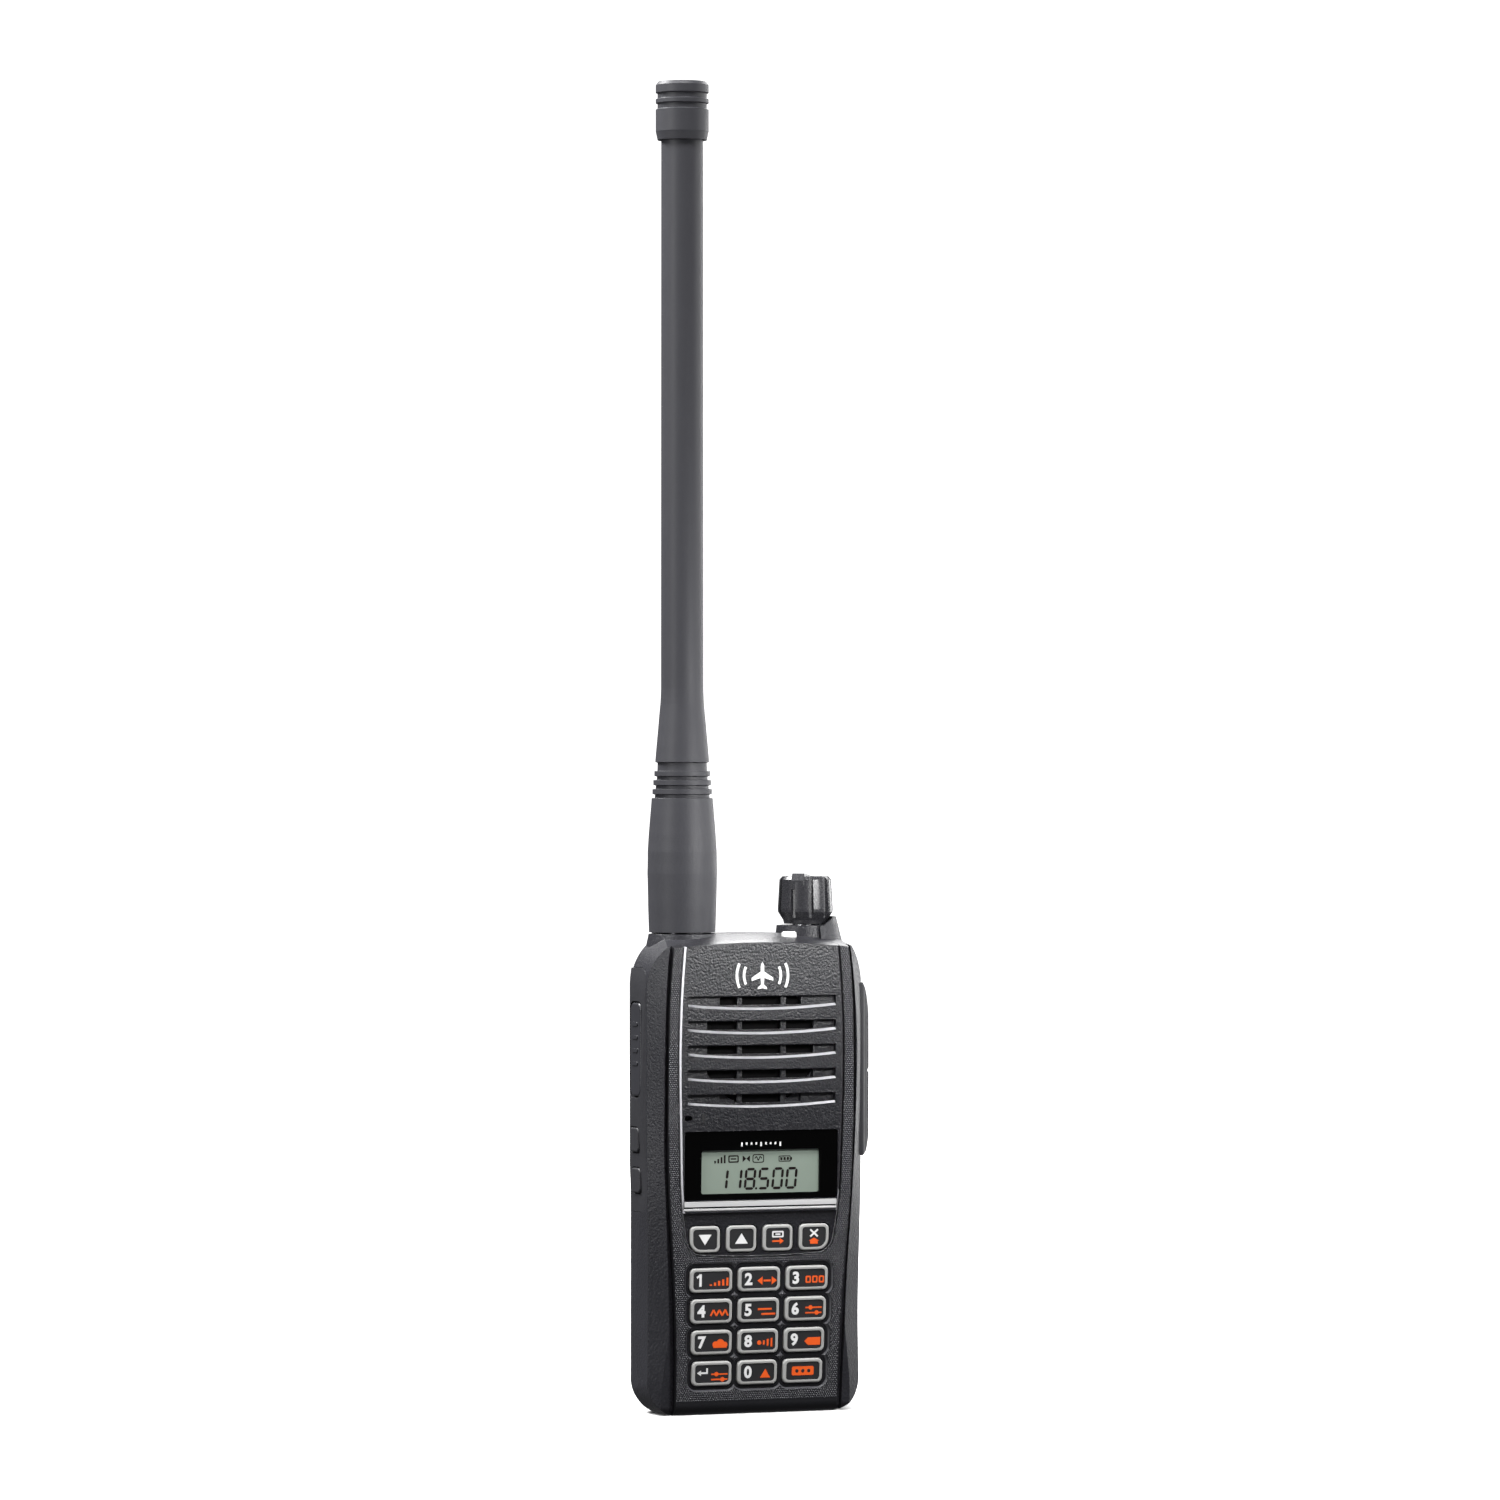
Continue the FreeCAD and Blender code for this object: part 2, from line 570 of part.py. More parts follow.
# ---------------------------------------------------------------- left side
def grip_form():
    """The raised grip around the talk button: thickest just below the button, for the thumb."""
    z0, z1 = GRIP_Z
    front = prism_front((-25.7, z0), [(-26.3, z0), [(-26.45, 51), (-26.8, 59), (-27.4, 70), (-27.45, 73.0)],
                                      [(-27.2, 80), (-26.95, 96), (-26.8, 99.5), (-26.2, z1)], (-25.7, z1)],
                        -8, 5)
    plan = prism_top((-25.7, -6.7), [(-26.75, -6.7), [(-27.05, -5.8), (-27.4, -3.6), (-27.5, -1.0)],
                                     [(-27.35, 1.5), (-26.75, 4.0)], (-26.3, 4.3), (-25.7, 4.3)], 40, 110)
    side = prism_side((4.3, z0), [(-2.5, z0), (-5.5, z0 + 1.3, -6.7, z0 + 4.5), (-6.7, z1 - 4.5),
                                  (-5.5, z1 - 1.3, -2.5, z1), (4.3, z1)], -29, -25.0)
    return front.common(plan).common(side)


def side_opening(y, z, clear, x0=-30, x1=-20, radius=1.4):
    return rounded_box((x0, x1), (y[0] - clear, y[1] + clear), (z[0] - clear, z[1] + clear), radius, X)


def make_side_grip():
    grip = grip_form()
    grip = grip.cut(side_opening((TALK_Y[0] - 0.5, TALK_Y[1]), TALK_Z, 0.3, radius=2.2))
    for name, low, high, face in SIDE_KEYS:
        grip = grip.cut(side_opening(SIDE_KEY_Y, (low, high), SIDE_CLEAR))
    return grip


def left_side_tools():
    """What the case loses on its left: a seat for the grip, and openings for the three buttons."""
    z0, z1 = GRIP_Z
    seat = prism_side((4.4, z0 - 0.1), [(-2.5, z0 - 0.1), (-5.6, z0 + 1.2, -6.8, z0 + 4.4), (-6.8, z1 - 4.4),
                                        (-5.6, z1 - 1.2, -2.5, z1 + 0.1), (4.4, z1 + 0.1)], -29, -25.7)
    tools = [seat, side_opening(TALK_Y, TALK_Z, SIDE_CLEAR)]
    return tools + [side_opening(SIDE_KEY_Y, (low, high), SIDE_CLEAR) for _, low, high, _ in SIDE_KEYS]


def make_talk_button():
    y, z = TALK_Y, TALK_Z
    cap = rounded_box((TALK_FACE, -24.0), y, z, 1.9, X)
    cap = cap.makeFillet(0.6, edges_at(cap, "x", TALK_FACE))
    parts = [rounded_box((-24.1, -23.4), (y[0] - 0.6, y[1] + 0.6), (z[0] - 0.9, z[1] + 0.9), 1.2, X)]
    for i in range(4):
        height = 81.0 + 3.05 * i
        parts.append(rounded_box((TALK_FACE - 0.2, TALK_FACE + 0.5), (-1.9, 1.4), (height, height + 0.9), 0.4, X))
    return cap.fuse(parts)


def make_side_key(low, high, face):
    cap = rounded_box((face, -24.0), SIDE_KEY_Y, (low, high), 1.1, X)
    cap = cap.makeFillet(0.45, edges_at(cap, "x", face))
    flange = rounded_box((-24.1, -23.4), (SIDE_KEY_Y[0] - 0.6, SIDE_KEY_Y[1] + 0.6), (low - 0.6, high + 0.6), 0.8, X)
    plunger = Part.makeCylinder(1.2, 0.6, V(-23.4, 0, (low + high) / 2), X)
    return cap.fuse([flange, plunger])


def make_side_switches():
    board = box((-21.6, -20.8), (-3.2, 3.2), (50.5, 94.5))
    domes = []
    for z in (85.0, (SIDE_KEYS[0][1] + SIDE_KEYS[0][2]) / 2, (SIDE_KEYS[1][1] + SIDE_KEYS[1][2]) / 2):
        domes.append(Part.makeCone(1.4, 2.2, 0.1, V(-21.7, 0, z), X))
    return board.fuse(domes)


# ---------------------------------------------------------------- right side
def cover_form():
    """The jack cover: a strip whose front edge climbs outwards in small steps, sloped at both ends."""
    z0, z1 = COVER_Z
    face = COVER_STEPS[-1][1]
    front = prism_front((25.7, z0), [(27.2, z0), (28.2, z0 + 0.9), [(face - 0.3, z0 + 3.0), (face - 0.05, z0 + 7)],
                                     [(face, 79), (face - 0.05, z1 - 8)], [(face - 0.5, z1 - 4.0), (27.9, z1 - 1.3)],
                                     (27.0, z1), (25.7, z1)], -9, 6)
    steps = []
    for y, x in COVER_STEPS:
        steps += [(x - 0.35, y), (x, y + 0.2)]
    plan = prism_top((25.7, COVER_STEPS[0][0]), [*steps, (face, 1.4), (face - 0.5, 3.2, 27.2, COVER_BACK_Y),
                                                 (25.7, COVER_BACK_Y)], 50, 110)
    return front.common(plan)


def right_side_tools():
    """The cover's seat in the case, and the way through the wall to the jacks."""
    z0, z1 = COVER_Z
    tools = [box((25.65, 30), (COVER_STEPS[0][0] - 0.1, COVER_BACK_Y + 0.1), (z0 - 0.1, z1 + 0.1))]
    for z, radius in JACKS:
        tools.append(Part.makeCylinder(radius + 2.2, 6, V(22, JACK_Y, z), X))
    return tools


def make_jack_cover():
    """A rubber flap with a nick across its middle. It swings on its lower edge."""
    cover = cover_form()
    nick = Part.makeCylinder(0.55, 14, V(COVER_STEPS[-1][1] + 0.2, -9, 79.3), Y)
    return cover.cut(nick)


def make_accessory_jacks():
    block = box((24.0 - JACK_DEPTH, 24.0), (-3.2, 1.4), (70.5, 92.0))
    for z, radius in JACKS:
        block = block.cut(Part.makeCylinder(radius, JACK_DEPTH - 0.8, V(24.8 - JACK_DEPTH, JACK_Y, z), X))
    return block


# ---------------------------------------------------------------- display and electronics
def make_display_window():
    height = WINDOW_HIGH - WINDOW_LOW - 2 * GAP
    return face_slab(2 * (WINDOW_HALF - GAP), height, 0.5, (0.1, WINDOW_BACK), WINDOW_MID)


def make_display_trim():
    """The bright strip under the window: a broad bar over a thin line, with a step between."""
    height = TRIM_HIGH - TRIM_LOW - 0.1
    base = face_slab(38.3, height, 0.25, (0.45, 0.8), TRIM_MID)
    bar = face_slab(38.1, 1.25, 0.2, (0.05, 0.5), TRIM_HIGH - 0.75)
    line = face_slab(38.1, 0.4, 0.15, (0.2, 0.5), TRIM_LOW + 0.35)
    return base.fuse([bar, line])


def make_display_glass():
    return face_slab(30.8, 11.2, 0.3, GLASS_DEPTH, VIEW_HEIGHT_MID)


def make_display_holder():
    frame = face_slab(34.4, 15.2, 1.0, HOLDER_DEPTH, VIEW_HEIGHT_MID)
    return frame.fuse(face_slab(30.6, 11.2, 0.5, (GLASS_DEPTH[1], HOLDER_DEPTH[0] + 0.2), VIEW_HEIGHT_MID))


def make_loudspeaker():
    basket = Part.makeCylinder(SPEAKER_RADIUS, 1.4, V(0, -8.15, SPEAKER_Z), Y)
    taper = Part.makeCone(SPEAKER_RADIUS - 1, 8.5, 1.9, V(0, -6.8, SPEAKER_Z), Y)
    magnet = Part.makeCylinder(8.5, 1.5, V(0, -4.95, SPEAKER_Z), Y)
    hollow = Part.makeCone(SPEAKER_RADIUS - 2.2, 3.5, 1.9, V(0, -8.15, SPEAKER_Z), Y)
    return basket.fuse([taper, magnet]).cut(hollow)


def make_speaker_net():
    return Part.makeCylinder(SPEAKER_RADIUS - 1.6, 0.25, V(0, -9.8, SPEAKER_Z), Y)


def make_microphone():
    return placed(Part.makeCylinder(2.2, 2.4, V(0, DEPTH_FRONT + CASE_BACK + 0.05, FACE_MID_Z), Y), -18.3, 69.0)


def make_keypad_mat():
    return face_slab(37.2, 41.0, 1.5, MAT_DEPTH, 25.5)


def make_key_board():
    board = face_slab(38.4, 42.0, 0.5, KEY_BOARD_DEPTH, 25.5)
    for x, z in SCREW_PLACES:
        board = board.cut(Part.makeCylinder(1.3, 20, V(x, -12, z), Y))
    return board


def make_main_board():
    board = box((-20.3, 21.0), (0.9, 1.9), (5.0, 99.0))
    board = board.cut(box((9.6, 30), (-5, 6), (70.0, 92.5)))
    board = board.cut(cylinder(6.4, 92, 120, ANTENNA_X, CONTROL_Y)).cut(box((10.8, 30), (-8, 9), (96, 120)))
    for x, z in SCREW_PLACES:
        board = board.cut(Part.makeCylinder(1.3, 10, V(x, -2, z), Y))
    return board


def make_shield_cans():
    cans = []
    for x0, x1, z0, z1 in ((-16, -2, 10, 38), (1, 16, 10, 30), (-16, 6, 49, 66), (1, 16, 33, 43)):
        can = box((x0, x1), (-1.4, 0.9), (z0, z1))
        can = can.makeFillet(1.0, edges_along(can, Y))
        cans.append(can.makeFillet(0.3, edges_at(can, "y", -1.4)))
    return Part.Compound(cans)


# ---------------------------------------------------------------- chassis
def chassis_plate(y0, y1, gap):
    """A plate that fills the inside of the case between two depths."""
    inner = body_form(CASE_BACK, WALL + gap)
    return inner.common(box((-40, 40), (y0, y1), (-5, BATTERY_TOP + 3)))


def make_rear_chassis():
    """The die-cast frame: a plate behind the boards, and the radio's own back above the battery."""
    plate = chassis_plate(SPLIT_Y - 2.0, SPLIT_Y - 0.5, 0.15)
    shell = body_form(PLATE_BACK, 0).common(box((-40, 40), (SPLIT_Y + GAP, 20), (BATTERY_TOP + GAP, CAP_Z - GAP)))
    shell = shell.cut(body_form(CASE_BACK, WALL).common(box((-40, 40), (-20, 20), (BATTERY_TOP + 1.9, 130))))
    shelf_y = (SPLIT_Y - 2.0, SPLIT_Y + 1.0)
    shelf = body_form(CASE_BACK, WALL + 0.15).common(box((-40, 40), shelf_y, (BATTERY_TOP + GAP, BATTERY_TOP + 1.9)))
    frame = plate.fuse([shell, shelf]).cut(switch_notch())
    for x, z in SCREW_PLACES:
        frame = frame.cut(Part.makeCylinder(1.3, 10, V(x, 0, z), Y))
    contact_slot = box((-9.2, 9.2), (0, 8), (63.8, 70.2))
    base_rails = box((-6.6, 6.6), (10.0, 12.5), (87.9, 102.1))
    return frame.cut(contact_slot).cut(base_rails)


SCREW_PLACES = [(-18.6, 12.0), (18.6, 12.0), (-18.6, 46.0), (18.6, 46.0), (-12.0, 79.0), (6.0, 79.0)]


def switch_notch():
    """Room at the left edge for the side buttons and their switches."""
    return box((-30, -20.4), (-5, SPLIT_Y - 0.4), (49.3, 98))


def make_case_screws():
    screws = []
    for x, z in SCREW_PLACES:
        head = Part.makeCylinder(2.1, 0.45, V(x, SPLIT_Y - 0.5, z), Y)
        shank = Part.makeCylinder(1.15, 3.4, V(x, SPLIT_Y - 3.9, z), Y)
        slot = box((x - 1.5, x + 1.5), (SPLIT_Y - 0.25, SPLIT_Y + 1), (z - 0.2, z + 0.2))
        cross = box((x - 0.2, x + 0.2), (SPLIT_Y - 0.25, SPLIT_Y + 1), (z - 1.5, z + 1.5))
        screws.append(head.fuse(shank).cut(slot).cut(cross))
    return Part.Compound(screws)


def make_case_gasket():
    ring = chassis_plate(SPLIT_Y - 2.5, SPLIT_Y - 2.05, 0.3)
    ring = ring.cut(body_form(CASE_BACK, WALL + 1.5).common(box((-40, 40), (-20, 20), (0, BATTERY_TOP + 1.2))))
    return ring.cut(switch_notch())


def make_contact_block():
    block = box((-9, 9), (1.95, SPLIT_Y + 0.9), (64, 70))
    pins = [Part.makeCylinder(0.9, 0.5, V(x, SPLIT_Y + 0.9, 67), Y) for x in (-6, 0, 6)]
    return block.fuse(pins)


# ---------------------------------------------------------------- battery pack
def battery_form(inset):
    """The pack's outer form, with room for the foot and the latch."""
    return body_form(PLATE_BACK, inset).common(box((-40, 40), (SPLIT_Y + GAP, 20), (inset, BATTERY_TOP - inset)))


def make_battery_case():
    outer = battery_form(0)
    outer = outer.cut(box((-FOOT_HALF - GAP, FOOT_HALF + GAP), (0, 20), (-1, FOOT_TOP + GAP)))
    finger = prism_side((8.4, 2.0), [(13, 2.0), (13, 8.4), (11.0, 7.6), (9.2, 5.8), (8.4, 4.6)], -7.2, 7.2)
    outer = outer.cut(finger)
    inner = battery_form(1.3).common(box((-40, 40), (0, 20), (9.8, 90)))
    case = outer.cut(inner)
    for x in (-13.0, 13.0):
        grip_cut = rounded_box((x - 4.4, x + 4.4), (DEPTH_BACK - 0.5, 20), (44.0, 78.0), 1.5, Y)
        case = case.cut(grip_cut)
    pocket = box((-4.2, 4.2), (5.15, 7.6), (2.5, 4.2))
    return case.cut(pocket)


def make_battery_cover():
    plate = battery_form(1.35).common(box((-40, 40), (SPLIT_Y + GAP, SPLIT_Y + 1.3), (9.9, 90)))
    return plate.cut(box((-9.3, 9.3), (0, 8), (63.6, 70.4)))


def make_battery_contacts():
    base = box((-9.2, 9.2), (SPLIT_Y + 1.45, SPLIT_Y + 1.9), (63.7, 70.3))
    return base


def make_battery_cells():
    cells = []
    for z0 in (12.2, 47.4):
        top = z0 + 34.4
        cell = rounded_box((-16.5, 16.5), (SPLIT_Y + 2.0, 10.8), (z0, min(top, 82.5)), 2.0, X)
        cells.append(cell)
    return Part.Compound(cells)


def latch_tools():
    """The latch's slot and pivot holes in the case's foot."""
    slot = box((-LATCH_HALF - 0.25, LATCH_HALF + 0.25), (SPLIT_Y, 12), (-1, 8))
    pin = Part.makeCylinder(LATCH_PIN_RADIUS + 0.05, 2 * LATCH_HALF + 3.4,
                            V(-LATCH_HALF - 1.7, LATCH_PIVOT_Y, LATCH_PIVOT_Z), X)
    return [slot, pin]


def make_battery_latch():
    """A rocker in the foot: lifting its rear tab drops the tooth out of the battery's pocket."""
    arm = box((-LATCH_HALF, LATCH_HALF), (5.3, 10.6), (0.85, 2.25))
    tab = prism_side((10.2, 0.85), [(11.5, 1.4), (11.9, 3.4), (10.9, 3.6), (10.2, 2.25)], -LATCH_HALF, LATCH_HALF)
    tooth = prism_side((5.55, 2.2), [(5.55, 3.25), (6.0, 3.25), (6.7, 2.2)], -3.8, 3.8)
    pin = Part.makeCylinder(LATCH_PIN_RADIUS, 2 * LATCH_HALF + 3.0,
                            V(-LATCH_HALF - 1.5, LATCH_PIVOT_Y, LATCH_PIVOT_Z), X)
    hub = Part.makeCylinder(1.15, 2 * LATCH_HALF, V(-LATCH_HALF, LATCH_PIVOT_Y, LATCH_PIVOT_Z), X)
    return arm.fuse([tab, tooth, hub, pin])


# ---------------------------------------------------------------- belt clip
def make_clip_base():
    plate = rounded_box((-9.5, 9.5), (DEPTH_BACK + 0.02, DEPTH_BACK + 1.2), (86.5, 102.6), 1.5, Y)
    tongue = box((-6.5, 6.5), (10.1, DEPTH_BACK + 0.5), (88.0, 102.0))
    ears = []
    for side in (-1, 1):
        x = sorted((side * (CLIP_HALF + 0.3), side * (CLIP_HALF + 1.5)))
        ear = prism_side((DEPTH_BACK + 1.0, 94.6), [(CLIP_PIN_Y, 96.6), (17.4, 99.0, CLIP_PIN_Y, 101.4),
                                                    (DEPTH_BACK + 1.0, 102.6)], *x)
        ears.append(ear)
    base = plate.fuse([tongue, *ears])
    pin_hole = Part.makeCylinder(CLIP_PIN_RADIUS, 30, V(-15, CLIP_PIN_Y, CLIP_PIN_Z), X)
    return base.cut(pin_hole)


def make_clip_pin():
    return Part.makeCylinder(CLIP_PIN_RADIUS, 2 * (CLIP_HALF + 1.5), V(-CLIP_HALF - 1.5, CLIP_PIN_Y, CLIP_PIN_Z), X)


def make_clip_lever():
    """A long sprung tongue. Pressing its head towards the radio lifts its foot off the belt."""
    side = prism_side((16.6, 107.4), [
        [(17.1, 103), (17.2, 98), (16.9, 84), (17.1, 64), (16.9, 52), (15.2, 42.0)],
        (14.4, 40.6, 13.3, 41.2),
        (13.0, 42.6, 13.5, 44.0),
        [(15.1, 53), (15.3, 64), (15.1, 84), (15.3, 95.5)],
        (15.35, 103),
        (15.0, 107.4),
    ], -CLIP_HALF, CLIP_HALF)
    hub = Part.makeCylinder(2.0, 2 * CLIP_HALF, V(-CLIP_HALF, CLIP_PIN_Y, CLIP_PIN_Z), X)
    lever = side.fuse(hub)
    lever = lever.cut(rounded_box((-3.9, 3.9), (10, 20), (CLIP_PIN_Z - 3.0, CLIP_PIN_Z + 3.0), 0.6, Y))
    shaped = prism_front((-CLIP_HALF, 108), [(-CLIP_HALF, 60), (-6.6, 46), (-4.5, 39), (4.5, 39), (6.6, 46),
                                             (CLIP_HALF, 60), (CLIP_HALF, 108)], 12, 20)
    lever = lever.common(shaped)
    bore = Part.makeCylinder(CLIP_PIN_RADIUS + 0.05, 30, V(-15, CLIP_PIN_Y, CLIP_PIN_Z), X)
    return lever.cut(bore)


def make_clip_spring():
    """A torsion spring on the pin, as turns lying side by side."""
    turns = []
    for i in range(9):
        turn = Part.makeTorus(1.42, 0.4, V(-3.0 + 0.75 * i, CLIP_PIN_Y, CLIP_PIN_Z), X)
        turns.append(turn)
    return turns[0].fuse(turns[1:])


# ---------------------------------------------------------------- top controls
def make_indicator_lens():
    lens = rounded_box((7.2, 10.8), (-7.5, -5.5), (108.2, 111.9), 0.9, Z)
    return lens.makeFillet(0.6, edges_at(lens, "z", 111.9))


def make_volume_control():
    body = box((KNOB_X - 4.7, KNOB_X + 4.7), (CONTROL_Y - 4.7, CONTROL_Y + 4.7), (98.0, 103.8))
    bushing = cylinder(3.7, 103.8, 112.9, KNOB_X, CONTROL_Y)
    return body.fuse(bushing).cut(cylinder(SHAFT_RADIUS + SHAFT_CLEAR, 101.0, 120, KNOB_X, CONTROL_Y))


def make_volume_shaft():
    return cylinder(SHAFT_RADIUS, 101.3, 121.4, KNOB_X, CONTROL_Y)


def make_volume_knob():
    """A tapered knob with nine broad flutes, a dished top and a raised pointer."""
    knob = turned([(0, KNOB_FOOT), (5.0, KNOB_FOOT), (5.2, 114.4), (6.4, 116.3), (6.45, 117.0), (6.05, KNOB_TOP - 0.7),
                   (5.4, KNOB_TOP), (4.3, KNOB_TOP), (4.0, KNOB_TOP - 0.6), (0, KNOB_TOP - 0.6)], 0, 0)
    flutes = 9
    for i in range(flutes):
        groove = prism_top((5.55, -0.35), [(8.0, -1.15), (8.0, 1.15), (5.55, 0.35)], 112, 127)
        groove.rotate(V(0, 0, 0), Z, 360.0 / flutes * (i + 0.5))
        knob = knob.cut(groove)
    pointer = prism_side((-6.0, KNOB_TOP - 3), [(-6.1, KNOB_TOP - 0.9), (-5.3, KNOB_TOP + 0.75),
                                                (-0.6, KNOB_TOP + 0.2), (0.0, KNOB_TOP - 3)], -1.5, 1.5)
    pointer.rotate(V(0, 0, 0), Z, -40.0)
    knob = knob.fuse(pointer)
    knob.translate(V(KNOB_X, CONTROL_Y, 0))
    return knob.cut(cylinder(SHAFT_RADIUS, 110, 121.4, KNOB_X, CONTROL_Y))


def make_volume_nut():
    corners = [V(4.9 * math.cos(math.radians(60 * i)), 4.9 * math.sin(math.radians(60 * i)), 111.65) for i in range(7)]
    nut = Part.Face(Part.makePolygon(corners)).extrude(V(0, 0, 1.3))
    nut.translate(V(KNOB_X, CONTROL_Y, 0))
    return nut.cut(cylinder(3.7, 110, 115, KNOB_X, CONTROL_Y))


def make_antenna_socket():
    """A bayonet socket: tube with two lugs, flange under the case, insulator and centre contact."""
    tube = cylinder(JACK_RADIUS, 99.0, 120.6).cut(cylinder(4.05, 112.6, 121.0))
    flange = cylinder(5.9, 107.3, 109.35)
    lug = Part.makeCylinder(0.95, 2 * 5.5, V(-5.5, 0, LUG_Z), X).cut(cylinder(4.4, 110, 125))
    insulator = cylinder(2.35, 112.6, 120.2).cut(cylinder(1.1, 112.6, 121.0))
    contact = cylinder(1.1, 112.6, 119.8).cut(cylinder(0.7, 113.5, 121.0))
    socket = tube.fuse([flange, lug])
    pieces = [*socket.Solids, *insulator.Solids, *contact.Solids]
    compound = Part.Compound(pieces)
    compound.translate(V(ANTENNA_X, CONTROL_Y, 0))
    return compound


def make_antenna_plug():
    """The antenna's bayonet ring, sleeve and centre pin. Its slots let the ring turn round the lugs."""
    ring = cylinder(6.6, 112.2, 121.8).cut(cylinder(5.0, 112.0, 121.0))
    for side in (0, 180):
        arc = Part.makeCylinder(5.75, 2.5, V(0, 0, LUG_Z - 1.25), Z, 106)
        arc.rotate(V(0, 0, 0), Z, side - 94)
        entry = Part.makeCylinder(5.75, LUG_Z - 112, V(0, 0, 112), Z, 24)
        entry.rotate(V(0, 0, 0), Z, side - 94)
        ring = ring.cut(arc).cut(entry)
    sleeve = cylinder(3.9, 113.2, 121.4).cut(cylinder(2.5, 113.0, 121.0))
    pin = cylinder(0.62, 114.0, 121.4)
    body = cylinder(6.6, 121.0, 126.5)
    plug = ring.fuse([sleeve, pin, body])
    plug.translate(V(ANTENNA_X, CONTROL_Y, 0))
    return plug


def make_antenna_whip():
    """The moulded rubber cover: a bulged grip, four ribs that let it flex, and a long straight stem."""
    profile = [(0, ANTENNA_FOOT), (7.75, ANTENNA_FOOT)]
    profile += [(7.95, 118), (8.12, 125.5), (8.05, 130.5), (7.8, 134.5), (7.45, 139.0), (7.12, 143.0)]
    for z, rib in ((143.0, 6.95), (145.1, 6.75), (147.2, 6.5)):
        profile += [(rib - 0.55, z + 0.05), (rib - 0.6, z + 0.8), (rib, z + 0.95), (rib, z + 2.1)]
    profile += [(5.8, 149.3), (5.75, 151.2), (6.3, 151.4), (6.0, 155.0), (5.55, 160), (5.1, 165.0), (4.95, 168.5)]
    profile += [(4.9, 296.2), (4.9, 305.5), (0, 305.5)]
    whip = turned(profile, ANTENNA_X, CONTROL_Y)
    whip = whip.cut(cylinder(6.6, 110, 126.5, ANTENNA_X, CONTROL_Y))
    return whip.cut(cylinder(2.4, 126, 296.5, ANTENNA_X, CONTROL_Y))


def make_antenna_core():
    return cylinder(2.4, 126.5, 296.5, ANTENNA_X, CONTROL_Y)


def make_antenna_cap():
    profile = [(0, 305.5), (4.92, 305.5), (4.92, 296.2), (5.75, 296.2), (6.1, 297.9), (6.18, 298.2), (6.18, 303.3)]
    profile += [(5.75, 303.5), (5.75, 304.6), (6.18, 304.8), (6.18, 305.7), (5.75, 305.9), (5.75, 307.0)]
    profile += [(6.18, 307.2), (6.18, 309.0), (5.6, ANTENNA_TIP), (0, ANTENNA_TIP)]
    return turned(profile, ANTENNA_X, CONTROL_Y)


# ---------------------------------------------------------------- everything
PIECES = {
    "front_case": make_front_case,
    "front_panel": make_front_panel,
    "front_bezel": make_front_bezel,
    "speaker_net": make_speaker_net,
    "loudspeaker": make_loudspeaker,
    "microphone": make_microphone,
    "display_window": make_display_window,
    "display_trim": make_display_trim,
    "display_glass": make_display_glass,
    "display_holder": make_display_holder,
    "keypad_mat": make_keypad_mat,
    "key_board": make_key_board,
    "main_board": make_main_board,
    "shield_cans": make_shield_cans,
    "rear_chassis": make_rear_chassis,
    "case_screws": make_case_screws,
    "case_gasket": make_case_gasket,
    "contact_block": make_contact_block,
    "side_grip": make_side_grip,
    "side_switches": make_side_switches,
    "talk_button": make_talk_button,
    "jack_cover": make_jack_cover,
    "accessory_jacks": make_accessory_jacks,
    "battery_case": make_battery_case,
    "battery_cover": make_battery_cover,
    "battery_contacts": make_battery_contacts,
    "battery_cells": make_battery_cells,
    "battery_latch": make_battery_latch,
    "clip_base": make_clip_base,
    "clip_pin": make_clip_pin,
    "clip_lever": make_clip_lever,
    "clip_spring": make_clip_spring,
    "indicator_lens": make_indicator_lens,
    "volume_control": make_volume_control,
    "volume_nut": make_volume_nut,
    "volume_shaft": make_volume_shaft,
    "volume_knob": make_volume_knob,
    "antenna_socket": make_antenna_socket,
    "antenna_plug": make_antenna_plug,
    "antenna_whip": make_antenna_whip,
    "antenna_core": make_antenna_core,
    "antenna_cap": make_antenna_cap,
}


def main():
    os.makedirs("parts", exist_ok=True)
    for name, make in PIECES.items():
        save(name, make())
    for name, low, high, face in SIDE_KEYS:
        save(name, make_side_key(low, high, face))
    for key in all_keys():
        save(key[0], make_key(key))


main()
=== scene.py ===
"""Looks of the handheld aviation radio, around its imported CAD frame.

The frame is in metres. What is drawn on the keypad face is in millimetres until face_matrix places it.
"""
import bmesh
import bpy
import json
import math
from mathutils import Matrix, Vector
from mathutils.bvhtree import BVHTree


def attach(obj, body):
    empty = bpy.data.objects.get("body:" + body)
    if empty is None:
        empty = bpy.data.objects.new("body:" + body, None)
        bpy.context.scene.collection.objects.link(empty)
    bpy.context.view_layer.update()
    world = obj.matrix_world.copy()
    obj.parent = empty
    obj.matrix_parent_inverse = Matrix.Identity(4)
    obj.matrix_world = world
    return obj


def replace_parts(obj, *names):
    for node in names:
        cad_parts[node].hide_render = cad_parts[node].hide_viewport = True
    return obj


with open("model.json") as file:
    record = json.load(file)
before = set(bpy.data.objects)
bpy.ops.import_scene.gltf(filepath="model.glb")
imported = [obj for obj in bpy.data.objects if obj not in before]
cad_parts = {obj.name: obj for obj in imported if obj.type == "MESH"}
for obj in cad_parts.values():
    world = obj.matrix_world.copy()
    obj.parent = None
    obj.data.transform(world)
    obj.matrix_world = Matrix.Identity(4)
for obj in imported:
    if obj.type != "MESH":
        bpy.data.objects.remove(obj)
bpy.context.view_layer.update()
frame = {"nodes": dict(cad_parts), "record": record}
MM = 0.001

